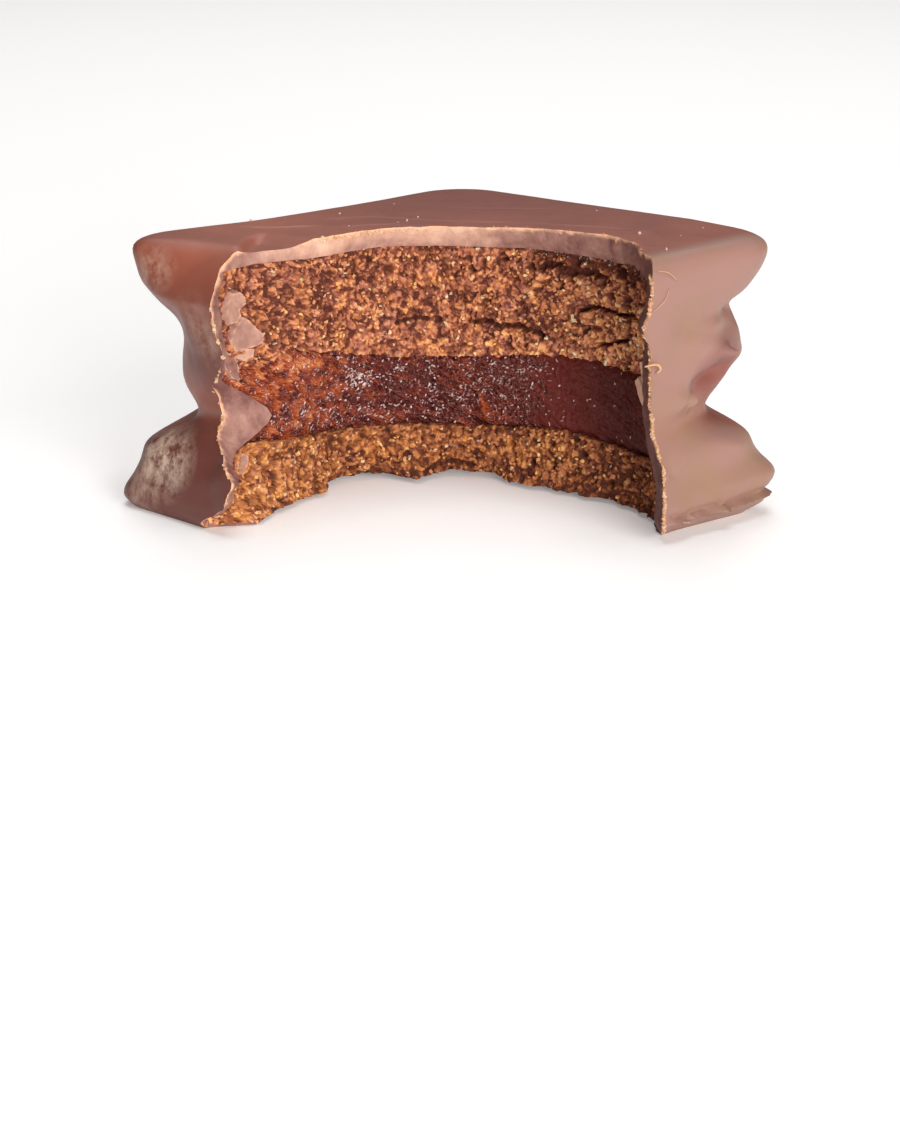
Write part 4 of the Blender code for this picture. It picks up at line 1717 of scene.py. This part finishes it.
def grainMaterial(name):
    stops, roughness = grainLooks[name]
    material, tree, shader = newMaterial(name, stops[0][1], roughness, specular=0.4)
    ramp = addRamp(tree, pointValue(tree, "crumbTone"), stops)
    mottle = objectNoise(tree, 3000.0, detail=2.0)
    colour = mixColour(tree, "MULTIPLY", 0.35, ramp.outputs["Color"], mottle.outputs["Color"])
    tree.links.new(colour, shader.inputs["Base Color"])
    addBump(tree, shader, mottle.outputs["Fac"], 0.4, 0.0001)
    return material


# light, floor and camera, in metres and degrees
stageValues = {
    "camera": (0.21601, -0.19965, 0.09219),
    "turn": 47.254,
    "pitch": 18.587,
    "lens": 86.83,
    "sensor": 36.0,
    "floorSize": 6.0,
    "floorColour": (0.93, 0.93, 0.93),
    "floorGlow": 0.16,
    "world": 0.14,
    # softboxes: right, towards the camera, up, size, power, colour
    "lights": (
        ("softFrontLow", 0.26, 0.82, 0.15, 0.34, 5.4, (1.0, 0.99, 0.975)),
        ("windowRight", 0.45, 0.60, 0.35, 0.40, 2.6, (1.0, 0.985, 0.96)),
        ("softOverhead", 0.0, 0.0, 0.80, 0.60, 3.1, (1.0, 0.99, 0.98)),
        ("softBack", 0.0, -0.50, 0.60, 0.50, 1.5, (1.0, 0.99, 0.98)),
    ),
}


def makeStage():
    bpy.ops.mesh.primitive_plane_add(size=stageValues["floorSize"], location=(0, 0, 0))
    floor = bpy.context.object
    floor.name = "floor"
    material, _, shader = newMaterial("paperFloor", stageValues["floorColour"], 0.9, specular=0.1)
    shader.inputs["Emission Color"].default_value = (1.0, 1.0, 1.0, 1.0)
    shader.inputs["Emission Strength"].default_value = stageValues["floorGlow"]
    floor.data.materials.append(material)

    world = bpy.data.worlds.new("softStudio")
    world.use_nodes = True
    world.node_tree.nodes["Background"].inputs["Strength"].default_value = stageValues["world"]
    world.node_tree.nodes["Background"].inputs["Color"].default_value = (1.0, 0.99, 0.98, 1.0)
    bpy.context.scene.world = world
    bpy.context.scene.view_settings.view_transform = "Standard"

    turn = math.radians(stageValues["turn"])
    across = Vector((math.cos(turn), math.sin(turn), 0.0))
    away = Vector((-math.sin(turn), math.cos(turn), 0.0))

    def addLight(name, right, front, up, size, power, colour):
        lamp = bpy.data.lights.new(name, "AREA")
        lamp.shape = "DISK"
        lamp.size = size
        lamp.energy = power
        lamp.color = colour
        light = bpy.data.objects.new(name, lamp)
        bpy.context.collection.objects.link(light)
        light.location = across * right - away * front + Vector((0, 0, up))
        aim = Vector((0, 0, 0.015)) - light.location
        light.rotation_euler = aim.to_track_quat("-Z", "Y").to_euler()

    for values in stageValues["lights"]:
        addLight(*values)

    lens = bpy.data.cameras.new("camera")
    lens.lens = stageValues["lens"]
    lens.sensor_width = stageValues["sensor"]
    lens.clip_start = 0.01
    camera = bpy.data.objects.new("camera", lens)
    bpy.context.collection.objects.link(camera)
    camera.location = stageValues["camera"]
    camera.rotation_euler = (math.radians(90.0 - stageValues["pitch"]), 0.0, turn)
    bpy.context.scene.camera = camera
    print("stage set")


# the build, in the order of the pieces
makeStage()
broken = brokenChocolate()
makeCoat(milkChocolate(), broken)
crumb = crumbMaterial("cocoaCrumb", crumbStops)
makeBiscuit("lidBiscuit", "top_biscuit", lidValues, crumb)
makeBiscuit("baseBiscuit", "bottom_biscuit", baseValues, crumbMaterial("goldenCrumb", baseStops))
makeCaramel(
    caramelMaterial("dulceDeLecheWet", 0.09, 0.5, 1.0),
    caramelMaterial("dulceDeLecheDull", 0.30, 0.14, 0.3),
)
for grains in ("crumbClods", "goldenGrains", "darkSpecks"):
    makeWallGrains(grains, crumb)
makeWallGrains("strawFlecks", grainMaterial("paleStraw"))
makeWallGrains("crustFlecks", grainMaterial("paleCrust"), only=crustLayer)
makeFootCrumbs(crumb)
chocolateCrumb = grainMaterial("chocolateCrumb")
makeEdgeCrumbsAndRimHighlight(chocolateCrumb)
makeShavings(chocolateCrumb)
makeGlints(grainMaterial("sugarAndPaintedGlint"))
makeShards(broken)
makeSpecks(grainMaterial("paleSpeck"))
